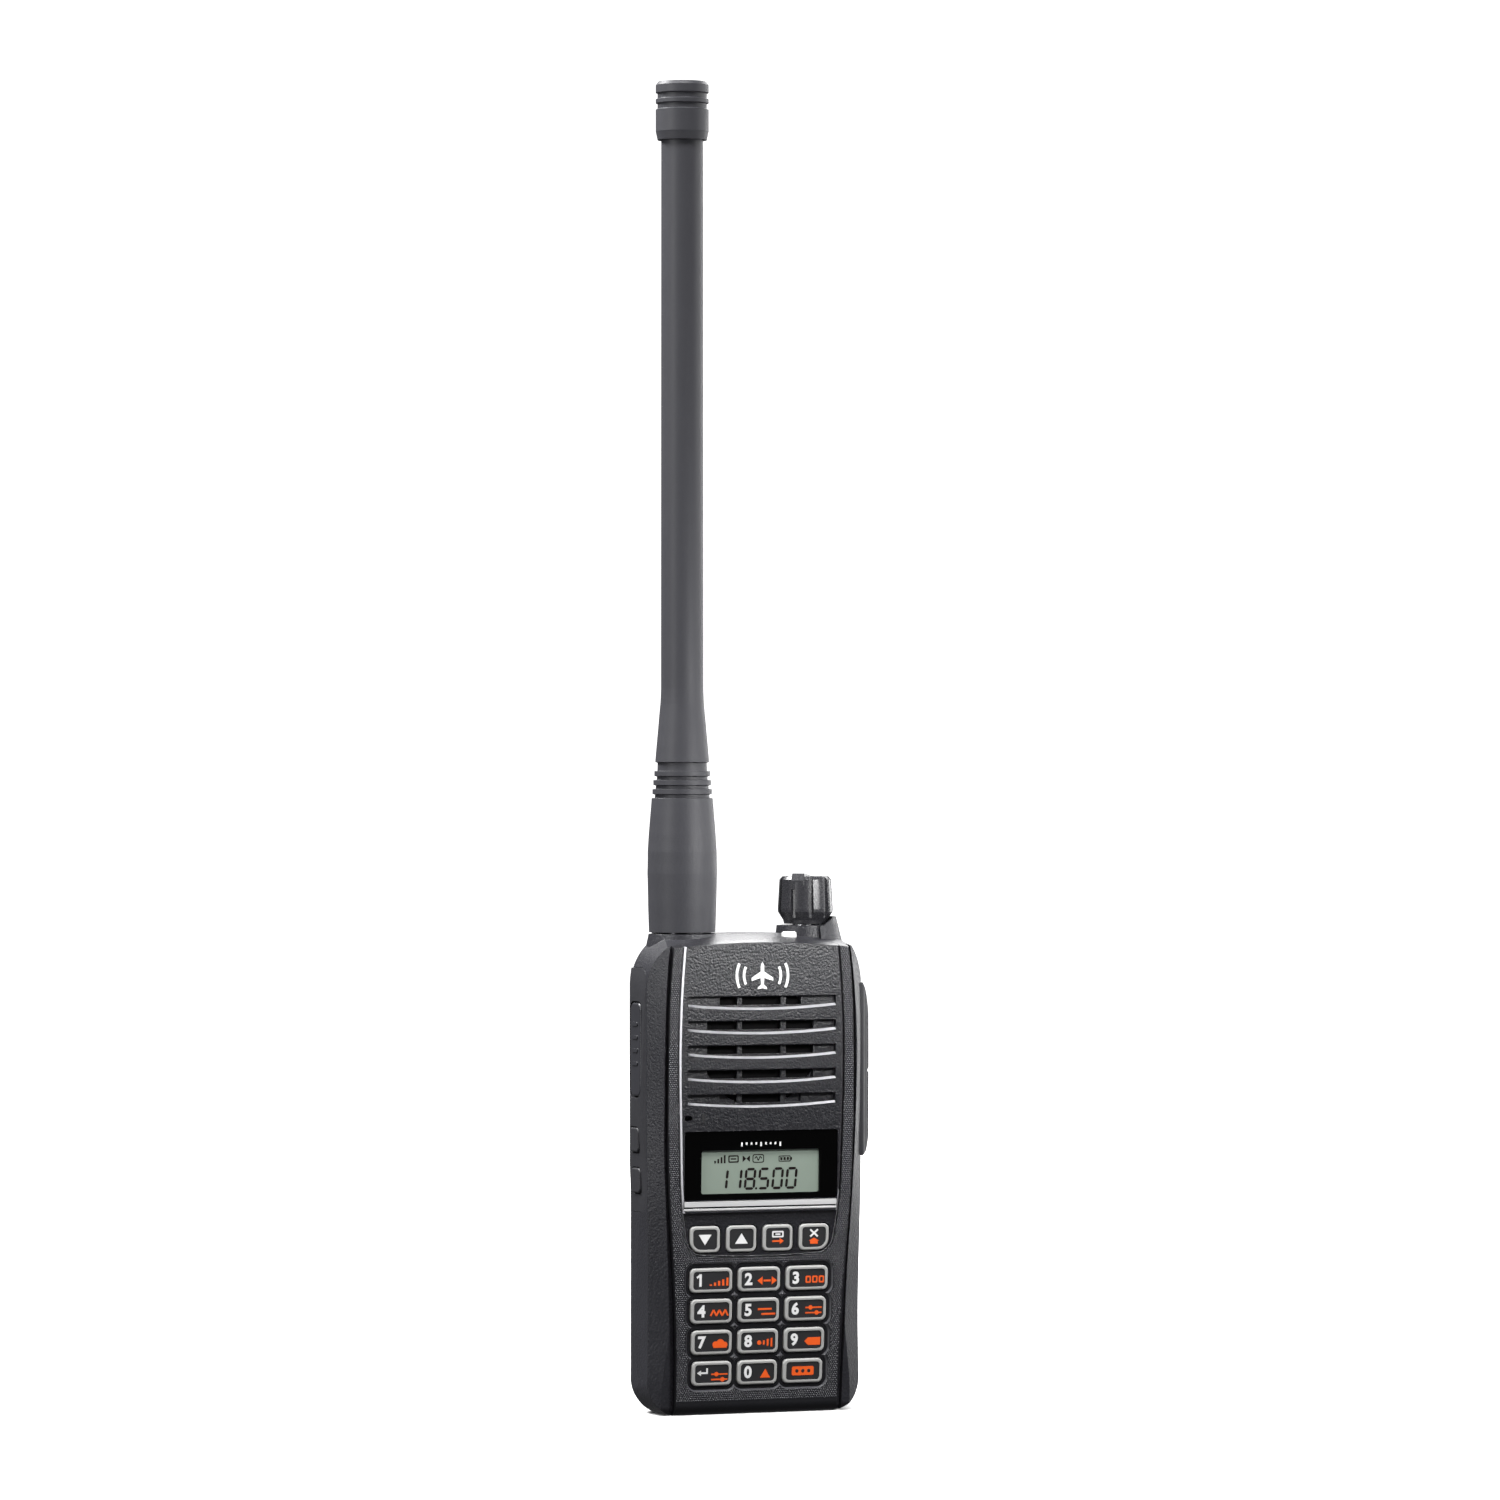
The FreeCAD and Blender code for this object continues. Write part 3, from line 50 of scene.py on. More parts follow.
# ---- in millimetres: the CAD part's sizes, then the legends' own. The face is a flat arc in side view ----
FACE_RADIUS, FACE_MID_Z, FACE_Y = 1400.0, 100.0, -12.25
BEZEL_DEPTH = 0.25                     # the knurled bezel's surface behind the face
KEY_ROWS = ((31.3, ("key_1", "key_2", "key_3")), (24.1, ("key_4", "key_5", "key_6")),
            (16.85, ("key_7", "key_8", "key_9")), (9.6, ("key_enter", "key_0", "key_function")))
KEY_W, KEY_H, KEY_PITCH = 10.5, 5.7, 12.0
ROW_TAPER = 0.2                        # keys and pitch get narrower by this, row by row
SOFT_KEYS = ("key_down", "key_up", "key_memory", "key_clear")
SOFT_Z, SOFT_W, SOFT_H, SOFT_PITCH = 40.8, 7.5, 6.2, 9.1
KEY_TOP, SOFT_TOP = 0.1, 0.35          # depths of the key tops behind the face
INLAY_DEPTH = 0.2                      # the key's dish below its rim
KEY_RIM = 0.77                         # width of a key's light rim
CORNER, BIG_CORNER = 0.8, 2.0          # corner radii of a key's dark face
DIGIT_TALL, DIGIT_LOW = 2.9, -1.35     # a key's digit: height, and its foot below the key's middle

INK = 0.03                             # thickness of printed legends
SIGN_GROWTH = 1.28                     # the signs are drawn smaller than they are printed

WINDOW_MID, WINDOW_W, WINDOW_H = 57.9, 38.2, 15.8
VIEW_MID, VIEW_W, VIEW_H = 56.4, 29.6, 10.1
LCD_W, LCD_H, LCD_DEPTH = 30.2, 10.8, 1.3          # the panel, and how far its back is behind the face
DIGIT_W, DIGIT_H, STROKE, SLANT = 2.2, 4.5, 0.6, 0.09     # the display's digits
LOW, HIGH = 0.295, 0.33                # the display's segments, from back to front
SCALE_Z, STEP_SHADOW_Z, EMBLEM_Z = 63.2, 48.2, 101.9    # middles of the tuning scale, the trim step's painted shadow line and the emblem
SUNK, EMBLEM_TOP, SIGN_TOP = -0.02, 0.012, 0.08    # foot and tops of the marks on the panel

# ---- in metres ----
STUD_PITCH = 0.54 * MM
STUD_RINGS = ((0.47, -0.00002), (0.22, 0.00006))   # a stud's foot and top: radius in pitches, then rise
KNURL_LOW, KNURL_HIGH = 3.4 * MM, 109.5 * MM
BLOTCH = 120.0                         # scale of the faint blotches in moulded plastic, per metre


def linear(value):
    """An sRGB level from 0 to 255 as a linear value."""
    v = value / 255.0
    return v / 12.92 if v <= 0.04045 else ((v + 0.055) / 1.055) ** 2.4


def rgb(r, g=None, b=None):
    """A colour from sRGB levels. A single level makes a grey."""
    g, b = (r if g is None else g), (r if b is None else b)
    return (linear(r), linear(g), linear(b), 1.0)


# ------------------------------------------------------------------ materials
def new_material(name, **values):
    """A material with its Principled shader's own sockets set to uniform values."""
    m = bpy.data.materials.new(name)
    m.use_nodes = True
    shader = m.node_tree.nodes["Principled BSDF"]
    for key, value in values.items():
        shader.inputs[key.replace("_", " ")].default_value = value
    return m, m.node_tree.nodes, m.node_tree.links, shader


def noise(nodes, links, coords, scale, detail=2.0, roughness=0.55, stretch=None):
    """A noise texture in the frame's metres, optionally stretched along an axis."""
    tex = nodes.new("ShaderNodeTexNoise")
    tex.inputs["Scale"].default_value = scale
    tex.inputs["Detail"].default_value = detail
    tex.inputs["Roughness"].default_value = roughness
    source = coords
    if stretch:
        mapping = nodes.new("ShaderNodeMapping")
        mapping.inputs["Scale"].default_value = stretch
        links.new(coords, mapping.inputs["Vector"])
        source = mapping.outputs["Vector"]
    links.new(source, tex.inputs["Vector"])
    return tex.outputs["Fac"]


def spread(nodes, links, source, low, high, to_low, to_high):
    """Maps a value's range to another, clamped at both ends."""
    node = nodes.new("ShaderNodeMapRange")
    for key, value in (("From Min", low), ("From Max", high), ("To Min", to_low), ("To Max", to_high)):
        node.inputs[key].default_value = value
    links.new(source, node.inputs["Value"])
    return node.outputs["Result"]


def colour_mix(nodes, links, factor, a, b):
    """Fades from colour a to colour b."""
    node = nodes.new("ShaderNodeMix")
    node.data_type = "RGBA"
    node.inputs["A"].default_value = a
    node.inputs["B"].default_value = b
    links.new(factor, node.inputs["Factor"])
    return node.outputs["Result"]


def relief(nodes, links, shader, height, depth, strength, edge):
    """Bumps of the given depth over edges that look rounded to the given radius."""
    bump = nodes.new("ShaderNodeBump")
    bump.inputs["Strength"].default_value = strength
    bump.inputs["Distance"].default_value = depth
    links.new(height, bump.inputs["Height"])
    bevel = nodes.new("ShaderNodeBevel")
    bevel.samples = 4
    bevel.inputs["Radius"].default_value = edge
    links.new(bevel.outputs["Normal"], bump.inputs["Normal"])
    links.new(bump.outputs["Normal"], shader.inputs["Normal"])


def moulded(name, colour, roughness, grain=1500.0, depth=0.00006, edge=0.00012, strength=0.6, vary=0.25,
            **values):
    """Moulded plastic or rubber: fine grain in relief, faint blotches and softly rounded edges."""
    m, nodes, links, shader = new_material(name, **values)
    coords = nodes.new("ShaderNodeTexCoord").outputs["Object"]
    fine = noise(nodes, links, coords, grain, 3.0)
    large = noise(nodes, links, coords, BLOTCH, 2.0)
    dark = tuple(c * (1 - vary) for c in colour[:3]) + (1.0,)
    light = tuple(min(1.0, c * (1 + vary)) for c in colour[:3]) + (1.0,)
    both = nodes.new("ShaderNodeMath")
    both.operation = "MULTIPLY_ADD"
    both.inputs[1].default_value = 0.7
    links.new(fine, both.inputs[0])
    links.new(spread(nodes, links, large, 0.0, 1.0, 0.0, 0.3), both.inputs[2])
    links.new(colour_mix(nodes, links, both.outputs[0], dark, light), shader.inputs["Base Color"])
    links.new(spread(nodes, links, both.outputs[0], 0.25, 0.75, roughness - 0.06, roughness + 0.08),
              shader.inputs["Roughness"])
    relief(nodes, links, shader, fine, depth, strength, edge)
    return m


def metal(name, colour, roughness, stretch=(1, 1, 1), grain=2500.0, depth=0.00002, metallic=1.0):
    """Bare or plated metal with fine lines or grain."""
    m, nodes, links, shader = new_material(name, Metallic=metallic)
    coords = nodes.new("ShaderNodeTexCoord").outputs["Object"]
    lines = noise(nodes, links, coords, grain, 2.0, 0.6, stretch)
    dark = tuple(c * 0.82 for c in colour[:3]) + (1.0,)
    links.new(colour_mix(nodes, links, lines, dark, colour), shader.inputs["Base Color"])
    links.new(spread(nodes, links, lines, 0.3, 0.7, roughness - 0.05, roughness + 0.1),
              shader.inputs["Roughness"])
    relief(nodes, links, shader, lines, depth, 0.4, 0.0001)
    return m


def paint(name, colour, roughness=0.5):
    """Printed ink with a slightly uneven body."""
    return moulded(name, colour, roughness, grain=3000.0, depth=0.00001, edge=0.00002, strength=0.3,
                   vary=0.06)


SPEC = {"Specular_IOR_Level": 0.32}     # for dull moulded plastic
SLOTS = {
    "case_plastic": moulded("case_plastic", rgb(34, 34, 38), 0.36, grain=1900.0, depth=0.00015,
                            strength=1.0, vary=0.5, **SPEC),
    "panel_plastic": moulded("panel_plastic", rgb(23, 23, 27), 0.32, grain=1900.0, depth=0.00017,
                             strength=1.0, vary=0.6),
    "bezel_plastic": moulded("bezel_plastic", rgb(24, 24, 27), 0.36, grain=2500.0, depth=0.00002, **SPEC),
    "chassis": moulded("chassis", rgb(40, 40, 44), 0.4, grain=900.0, **SPEC),
    "speaker_cloth": moulded("speaker_cloth", rgb(12, 12, 13), 0.85, grain=4000.0, Specular_IOR_Level=0.1),
    "speaker": moulded("speaker", rgb(40, 40, 40), 0.5),
    "window": moulded("window", rgb(2, 2, 2), 0.08, grain=200.0, depth=0.000002, strength=0.1,
                      Specular_IOR_Level=0.12),
    "trim": metal("trim", rgb(226, 226, 226), 0.38, stretch=(0.004, 1, 1), grain=6000.0, depth=0.000006,
                  metallic=0.5),
    "lcd": moulded("lcd", rgb(116, 127, 117), 0.5, grain=700.0, depth=0.000004, strength=0.2, vary=0.04,
                   **SPEC),
    "holder": moulded("holder", rgb(226, 226, 222), 0.5, grain=900.0, vary=0.05),
    "key_rubber": moulded("key_rubber", rgb(152, 152, 150), 0.42, grain=1800.0, depth=0.00002, vary=0.05),
    "soft_rubber": moulded("soft_rubber", rgb(38, 38, 41), 0.44, depth=0.00005, vary=0.3, **SPEC),
    "talk_plastic": moulded("talk_plastic", rgb(40, 40, 44), 0.32, grain=2200.0, depth=0.00002, **SPEC),
    "board": moulded("board", rgb(26, 96, 58), 0.4, grain=700.0, vary=0.3),
    "steel": metal("steel", rgb(190, 190, 192), 0.3, stretch=(1, 1, 0.1)),
    "jack_plastic": moulded("jack_plastic", rgb(26, 26, 28), 0.42, **SPEC),
    "brass": metal("brass", rgb(214, 178, 96), 0.25),
    # far darker than bare chrome, so the ring at the antenna's foot reads as the shaded gap there: painted
    # shade
    "chrome": metal("chrome", rgb(72, 72, 75), 0.3),
    "control": metal("control", rgb(180, 180, 182), 0.35),
    "cells": moulded("cells", rgb(70, 100, 150), 0.35, vary=0.1),
    "clip_plastic": moulded("clip_plastic", rgb(30, 30, 33), 0.38, **SPEC),
    "lens": moulded("lens", rgb(215, 215, 213), 0.25, grain=800.0, depth=0.000005, vary=0.03),
    "knob_rubber": moulded("knob_rubber", rgb(40, 40, 43), 0.26, grain=2600.0, depth=0.00003),
    "antenna_rubber": moulded("antenna_rubber", rgb(50, 50, 54), 0.5, grain=2400.0, depth=0.00003, vary=0.1,
                              **SPEC),
    "core": metal("core", rgb(170, 170, 172), 0.3),
}
KEY_FACE = moulded("key_face", rgb(33, 33, 35), 0.5, grain=2200.0, depth=0.00002, vary=0.12, **SPEC)
WHITE = paint("legend_white", rgb(214, 214, 214))
ORANGE = paint("legend_orange", rgb(222, 84, 14))
EMBLEM = paint("emblem_white", rgb(232, 232, 232), 0.4)
SEGMENT = moulded("segment_dark", rgb(24, 18, 18), 0.7, grain=3000.0, depth=0.00001, vary=0.06,
                  Specular_IOR_Level=0.05)
# dark marks: the microphone sign, and the painted shadow line along the trim's step
DARK_MARK_AND_SHADOW = paint("dark_mark_and_shadow", rgb(14, 14, 15), 0.6)
# the studs are lighter than the bezel plastic they stand on: a painted highlight
KNURL_SHEEN = moulded("knurl", rgb(56, 56, 60), 0.26, grain=3000.0, depth=0.00001, edge=0.00005)
# lighter than the bezel it covers: a painted sheen on the slopes round the keys
DISH_SHEEN = moulded("dish_painted_sheen", rgb(62, 62, 66), 0.36, grain=2500.0, depth=0.00002)
# a light strip over the panel's bevel: a painted highlight, not the panel's own colour
RIM_HIGHLIGHT = metal("rim_painted_highlight", rgb(196, 196, 200), 0.4, grain=1800.0, depth=0.00001)
# a light strip on the speaker slots' lower lips: a painted highlight, not the panel's own colour
LIP_HIGHLIGHT = metal("lip_painted_highlight", rgb(214, 214, 218), 0.42, grain=1800.0, depth=0.00001)

for part in frame["record"]["subparts"]:
    node = frame["nodes"][part["node"]]
    node.data.materials.clear()
    node.data.materials.append(SLOTS[part["material_slot"]])


# ------------------------------------------------------------------ geometry helpers
def face_y(z):
    """The face's y at height z, in millimetres."""
    return FACE_Y + (z - FACE_MID_Z) ** 2 / (2 * FACE_RADIUS)


def face_matrix(x, z, depth):
    """Takes a drawing (x right, y up, z out of the face), in millimetres, to its place on the keypad face."""
    angle = math.asin((FACE_MID_Z - z) / FACE_RADIUS)
    centre = Vector((0, FACE_Y + FACE_RADIUS, FACE_MID_Z))
    turn = Matrix.Translation(centre) @ Matrix.Rotation(angle, 4, "X") @ Matrix.Translation(-centre)
    place = Matrix.Translation((x, FACE_Y + depth, FACE_MID_Z)) @ Matrix.Rotation(math.radians(90), 4, "X")
    return Matrix.Scale(MM, 4) @ turn @ place


def piece(name, material, body, verts, faces, matrix=None):
    """A mesh piece, placed by its matrix if it has one, riding on a body."""
    mesh = bpy.data.meshes.new(name)
    mesh.from_pydata([tuple(v) for v in verts], [], faces)
    if matrix is not None:
        mesh.transform(matrix)
    mesh.materials.append(material)
    mesh.validate()
    mesh.update()
    o = bpy.data.objects.new(name, mesh)
    bpy.context.scene.collection.objects.link(o)
    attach(o, body)
    return o


class Solid:
    """Collects thin solids drawn on a plane: each outline is pushed from one height to another."""

    def __init__(self):
        self.verts, self.faces = [], []

    def plate(self, outline, low, high):
        """A closed plate."""
        n, base = len(outline), len(self.verts)
        self.verts += [(x, y, low) for x, y in outline]
        self.verts += [(x, y, high) for x, y in outline]
        self.faces.append([base + i for i in reversed(range(n))])
        self.faces.append([base + n + i for i in range(n)])
        self.faces += [[base + i, base + (i + 1) % n, base + n + (i + 1) % n, base + n + i]
                       for i in range(n)]

    def ring(self, outer, inner, low, high):
        """A closed band between two outlines with the same number of points."""
        n, base = len(outer), len(self.verts)
        for loop, z in ((outer, low), (inner, low), (inner, high), (outer, high)):
            self.verts += [(x, y, z) for x, y in loop]
        for i in range(n):
            j = (i + 1) % n
            for a, b in ((0, 1), (1, 2), (2, 3), (3, 0)):
                self.faces.append([base + b * n + i, base + b * n + j, base + a * n + j, base + a * n + i])

    def path(self, points, width, low, high):
        """Straight strokes from point to point."""
        for (x0, y0), (x1, y1) in zip(points, points[1:]):
            self.bar(x0, y0, x1, y1, width, low, high)

    def bar(self, x0, y0, x1, y1, width, low, high):
        """A straight stroke."""
        length = math.hypot(x1 - x0, y1 - y0)
        nx, ny = -(y1 - y0) / length * width / 2, (x1 - x0) / length * width / 2
        self.plate([(x0 - nx, y0 - ny), (x1 - nx, y1 - ny), (x1 + nx, y1 + ny), (x0 + nx, y0 + ny)],
                   low, high)

    def make(self, name, material, slot, body, matrix):
        """Turns what was drawn into a piece."""
        return piece(name, material, body, self.verts, self.faces, matrix)


def rounded(cx, cy, width, height, radius, steps=6, radii=None):
    """A rounded rectangle, anticlockwise from its upper right. radii may give each corner its own."""
    out = []
    corners = ((1, 1), (-1, 1), (-1, -1), (1, -1))
    for k, (sx, sy) in enumerate(corners):
        r = radii[k] if radii else radius
        for i in range(steps + 1):
            a = math.radians(90 * k + 90 * i / steps)
            out.append((cx + sx * (width / 2 - r) + r * math.cos(a),
                        cy + sy * (height / 2 - r) + r * math.sin(a)))
    return out


def disc(cx, cy, radius, count):
    """A circle of count points."""
    turns = [2 * math.pi * i / count for i in range(count)]
    return [(cx + radius * math.cos(a), cy + radius * math.sin(a)) for a in turns]


# ------------------------------------------------------------------ keys
def digit_solid(text, height):
    """The vertices and faces of a digit as thick as its ink, with its lower left at the origin."""
    curve = bpy.data.curves.new("digit", "FONT")
    curve.body = text
    curve.size = 1.0
    curve.offset = 0.04
    curve.extrude = 0.5
    curve.resolution_u = 4
    o = bpy.data.objects.new("digit", curve)
    bpy.context.scene.collection.objects.link(o)
    bpy.context.view_layer.update()
    mesh = bpy.data.meshes.new_from_object(o)
    bpy.data.objects.remove(o)
    bpy.data.curves.remove(curve)
    co = [v.co.copy() for v in mesh.vertices]
    low_x, low_y = min(v.x for v in co), min(v.y for v in co)
    scale = height / (max(v.y for v in co) - low_y)
    verts = [((v.x - low_x) * scale, (v.y - low_y) * scale, INK if v.z > 0 else 0.0) for v in co]
    faces = [list(p.vertices) for p in mesh.polygons]
    bpy.data.meshes.remove(mesh)
    return verts, faces


def draw_sign(solid, kind):
    """A small plain sign around the origin, about 3.6 mm wide and 1.6 mm high."""
    if kind == "wave":
        waves, width, height = 3, 3.4, 1.1
        solid.path([(-width / 2 + width * i / (2 * waves), (height / 2) * (1 if i % 2 else -1))
                    for i in range(2 * waves + 1)], 0.32, 0, INK)
    elif kind == "sweep":
        for side in (-1, 1):
            solid.plate([(side * 1.9, 0), (side * 0.9, side * 0.75), (side * 0.9, -side * 0.75)], 0, INK)
        solid.bar(-0.7, 0, 0.7, 0, 0.36, 0, INK)
    elif kind == "group":
        for x in (-1.3, 0, 1.3):
            solid.ring(rounded(x, 0, 1.05, 1.3, 0.2, 2), rounded(x, 0, 0.5, 0.75, 0.1, 2), 0, INK)
    elif kind == "bars":
        for i in range(5):
            x = -1.6 + 0.8 * i
            solid.bar(x, -0.7, x, -0.4 + 0.28 * i, 0.42, 0, INK)
    elif kind == "split":
        solid.bar(-1.7, 0.45, 1.0, 0.45, 0.34, 0, INK)
        solid.bar(-1.0, -0.45, 1.7, -0.45, 0.34, 0, INK)
    elif kind == "cloud":
        solid.plate(disc(-0.75, -0.1, 0.62, 14), 0, INK)
        solid.plate(disc(0.15, 0.1, 0.78, 16), 0, INK * 0.95)
        solid.plate(disc(1.0, -0.15, 0.55, 14), 0, INK * 0.9)
        solid.bar(-1.2, -0.52, 1.4, -0.52, 0.4, 0, INK * 0.85)
    elif kind == "beep":
        solid.plate(disc(-1.3, 0, 0.42, 14), 0, INK)
        for i, half in enumerate((0.4, 0.62, 0.78)):
            x = -0.4 + 0.75 * i
            solid.bar(x, -half, x, half, 0.34, 0, INK)
    elif kind == "tag":
        solid.plate([(-1.5, 0), (-0.8, -0.7), (1.6, -0.7), (1.6, 0.7), (-0.8, 0.7)], 0, INK)
    elif kind == "slider":
        for y, x in ((0.48, -0.6), (-0.48, 0.6)):
            solid.bar(-1.6, y, 1.6, y, 0.26, 0, INK)
            solid.plate(disc(x, y, 0.42, 12), 0, INK * 0.95)
    elif kind == "alert":
        solid.plate([(-1.0, -0.75), (1.0, -0.75), (0, 0.85)], 0, INK)


def pictogram(target, kind, x, y):
    """Adds a sign, grown to its printed size, to a drawing."""
    solid = Solid()
    draw_sign(solid, kind)
    base = len(target.verts)
    target.verts += [(v[0] * SIGN_GROWTH + x, v[1] * SIGN_GROWTH + y, v[2]) for v in solid.verts]
    target.faces += [[base + i for i in f] for f in solid.faces]


ORANGE_SIGNS = {"key_1": "bars", "key_2": "sweep", "key_3": "group", "key_4": "wave", "key_5": "split",
                "key_6": "slider", "key_7": "cloud", "key_8": "beep", "key_9": "tag", "key_0": "alert"}


def dress_key(name, x, z, width, height, depth, big=0):
    """The dark face in the key's light rim and its legends. big is the side of a larger lower corner."""
    floor = depth + INLAY_DEPTH
    face = Solid()
    radii = [CORNER] * 4
    if big:
        radii[2 if big < 0 else 3] = BIG_CORNER
    outline = rounded(0, 0, width - 2 * KEY_RIM, height - 2 * KEY_RIM, CORNER, 6, radii)
    face.plate(outline, -0.01, 0.07)
    face.make(name + "_face", KEY_FACE, "key_rubber", name, face_matrix(x, z, floor))
    top = face_matrix(x, z, floor - 0.07)
    white, orange = Solid(), Solid()
    digit = name[-1]
    if digit.isdigit():
        left, low = -width / 2 + 1.6, DIGIT_LOW
        if digit == "1":
            white.bar(left + 0.95, low, left + 0.95, low + DIGIT_TALL, 0.6, 0, INK)
            white.bar(left + 0.05, low + 2.05, left + 0.95, low + 2.66, 0.5, 0, INK * 0.95)
        else:
            verts, faces = digit_solid(digit, DIGIT_TALL)
            white.verts = [(v[0] + left, v[1] + low, v[2]) for v in verts]
            white.faces = faces
        pictogram(orange, ORANGE_SIGNS[name], 1.95, -0.35)
    elif name == "key_enter":
        white.bar(-1.2, 0.2, -3.2, 0.2, 0.42, 0, INK)
        white.bar(-1.2, 0.0, -1.2, 1.3, 0.42, 0, INK)
        white.plate([(-3.7, 0.2), (-2.7, -0.45), (-2.7, 0.85)], 0, INK)
        pictogram(orange, "slider", 1.9, -0.75)
    elif name == "key_function":
        orange.plate(rounded(0, 0, 5.5, 2.1, 0.45, 4), 0, INK)
        dark = Solid()
        for dx in (-1.5, 0, 1.5):
            dark.plate(disc(dx, 0, 0.42, 14), INK * 0.5, INK * 1.6)
        dark.make(name + "_dots", KEY_FACE, "key_rubber", name, top)
    elif name == "key_down":
        white.plate([(0, -1.3), (1.6, 1.15), (-1.6, 1.15)], 0, INK)
    elif name == "key_up":
        white.plate([(0, 1.3), (-1.6, -1.15), (1.6, -1.15)], 0, INK)
    elif name == "key_memory":
        white.ring(rounded(0, 0.85, 2.9, 1.5, 0.25, 3), rounded(0, 0.85, 2.2, 0.8, 0.1, 3), 0, INK)
        white.bar(-0.6, 0.85, 0.6, 0.85, 0.3, 0, INK)
        orange.bar(-1.4, -0.75, 0.5, -0.75, 0.4, 0, INK)
        orange.plate([(1.5, -0.75), (0.5, -0.05), (0.5, -1.45)], 0, INK)
    elif name == "key_clear":
        white.bar(-0.95, 0.1, 0.95, 1.75, 0.42, 0, INK)
        white.bar(-0.95, 1.75, 0.95, 0.1, 0.42, 0, INK * 0.95)
        orange.plate([(-0.95, -1.6), (0.95, -1.6), (0.95, -0.85), (-0.95, -0.85)], 0, INK)
        orange.plate([(-1.3, -0.9), (1.3, -0.9), (0, -0.15)], 0, INK)
    if white.verts:
        white.make(name + "_sign", WHITE, "key_rubber", name, top)
    if orange.verts:
        orange.make(name + "_function", ORANGE, "key_rubber", name, top)


for row, (row_z, names) in enumerate(KEY_ROWS):
    for column, key_name in enumerate(names):
        key_x = (column - 1) * (KEY_PITCH - ROW_TAPER * row)
        dress_key(key_name, key_x, row_z, KEY_W - ROW_TAPER * row, KEY_H, KEY_TOP)
for column, key_name in enumerate(SOFT_KEYS):
    dress_key(key_name, (column - 1.5) * SOFT_PITCH, SOFT_Z, SOFT_W, SOFT_H, SOFT_TOP,
              {0: -1, 3: 1}.get(column, 0))

# ------------------------------------------------------------------ display
window = Solid()
window.ring(rounded(0, 0, WINDOW_W, WINDOW_H, 0.5), rounded(0, VIEW_MID - WINDOW_MID, VIEW_W, VIEW_H, 0.5),
            0.0, 1.0)
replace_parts(window.make("window_mask", SLOTS["window"], "window", "radio", face_matrix(0, WINDOW_MID, 1.35)),
            "display_window")

lcd = Solid()
lcd.plate(rounded(0, 0, LCD_W, LCD_H, 0.4), 0.0, 0.3)
lcd.make("lcd_panel", SLOTS["lcd"], "lcd", "radio", face_matrix(0, VIEW_MID, LCD_DEPTH))

SEGMENTS = {"1": "bc", "5": "afgcd", "8": "abcdefg", "0": "abcdef"}


def segment(solid, x0, y0, x1, y1, ox, oy, low, high):
    """One pointed stroke of a digit whose lower left is at ox, oy, slanted with the digit."""
    length = math.hypot(x1 - x0, y1 - y0)
    ux, uy = (x1 - x0) / length, (y1 - y0) / length
    inset, half = 0.09, STROKE / 2
    points = []
    for along, across in ((inset, 0), (inset + half, -half), (length - inset - half, -half),
                          (length - inset, 0), (length - inset - half, half), (inset + half, half)):
        px, py = x0 + ux * along - uy * across, y0 + uy * along + ux * across
        points.append((ox + px + SLANT * py, oy + py))
    solid.plate(points, low, high)


def write_digits(solid, text, left, base, pitch, low, high):
    """A row of seven-segment digits. A point takes no room of its own."""
    w, h = DIGIT_W, DIGIT_H
    lines = {"a": (0, h, w, h), "b": (w, h / 2, w, h), "c": (w, 0, w, h / 2), "d": (0, 0, w, 0),
             "e": (0, 0, 0, h / 2), "f": (0, h / 2, 0, h), "g": (0, h / 2, w, h / 2)}
    x = left
    for c in text:
        if c == ".":
            solid.plate(rounded(x - 0.62, base, 0.5, 0.5, 0.1, 2), low, high)
            continue
        for s in SEGMENTS[c]:
            segment(solid, *lines[s], x, base, low, high)
        x += pitch


digits = Solid()
write_digits(digits, "118.500", -10.6, -4.0, 3.45, LOW, HIGH)
for i in range(4):                                            # signal strength
    digits.bar(-11.2 + 0.8 * i, 2.0, -11.2 + 0.8 * i, 2.6 + 0.42 * i, 0.42, LOW, HIGH)
digits.ring(rounded(-6.6, 2.95, 2.6, 1.7, 0.3, 3),            # a message
            rounded(-6.6, 2.95, 2.0, 1.1, 0.1, 3), LOW, HIGH)
digits.bar(-7.3, 2.95, -5.9, 2.95, 0.3, LOW, HIGH)
for x in (-4.3, -2.5):                                        # a link: two wedges, tip to tip
    digits.plate([(x, 2.2), (-3.4, 2.95), (x, 3.7)], LOW, HIGH)
digits.ring(rounded(-0.4, 2.95, 2.9, 2.0, 0.5, 4),            # a wave in a frame
            rounded(-0.4, 2.95, 2.45, 1.55, 0.35, 4), LOW, HIGH)
digits.path([(-1.3, 2.95), (-0.85, 3.45), (-0.4, 2.45), (0.05, 3.45), (0.5, 2.95)], 0.22, LOW, HIGH)
digits.ring(rounded(6.2, 2.8, 3.0, 1.4, 0.2, 2),              # a battery
            rounded(6.2, 2.8, 2.6, 1.0, 0.1, 2), LOW, HIGH)
for dx in (-0.8, 0.0, 0.8):
    digits.bar(6.2 + dx, 2.45, 6.2 + dx, 3.15, 0.55, LOW, HIGH)
digits.plate(rounded(7.9, 2.8, 0.3, 0.7, 0.1, 2), LOW, HIGH)
digits.make("lcd_segments", SEGMENT, "lcd", "radio", face_matrix(0, VIEW_MID, LCD_DEPTH))

scale = Solid()                                               # a plain tuning scale over the display
for i in range(9):
    x, tall = 1.2 * (i - 4), 1.9 if i % 4 == 0 else 1.1
    scale.bar(x, -tall / 2, x, tall / 2, 0.42, 0, 0.02)
scale.make("window_scale", WHITE, "window", "radio", face_matrix(0, SCALE_Z, 0.36))

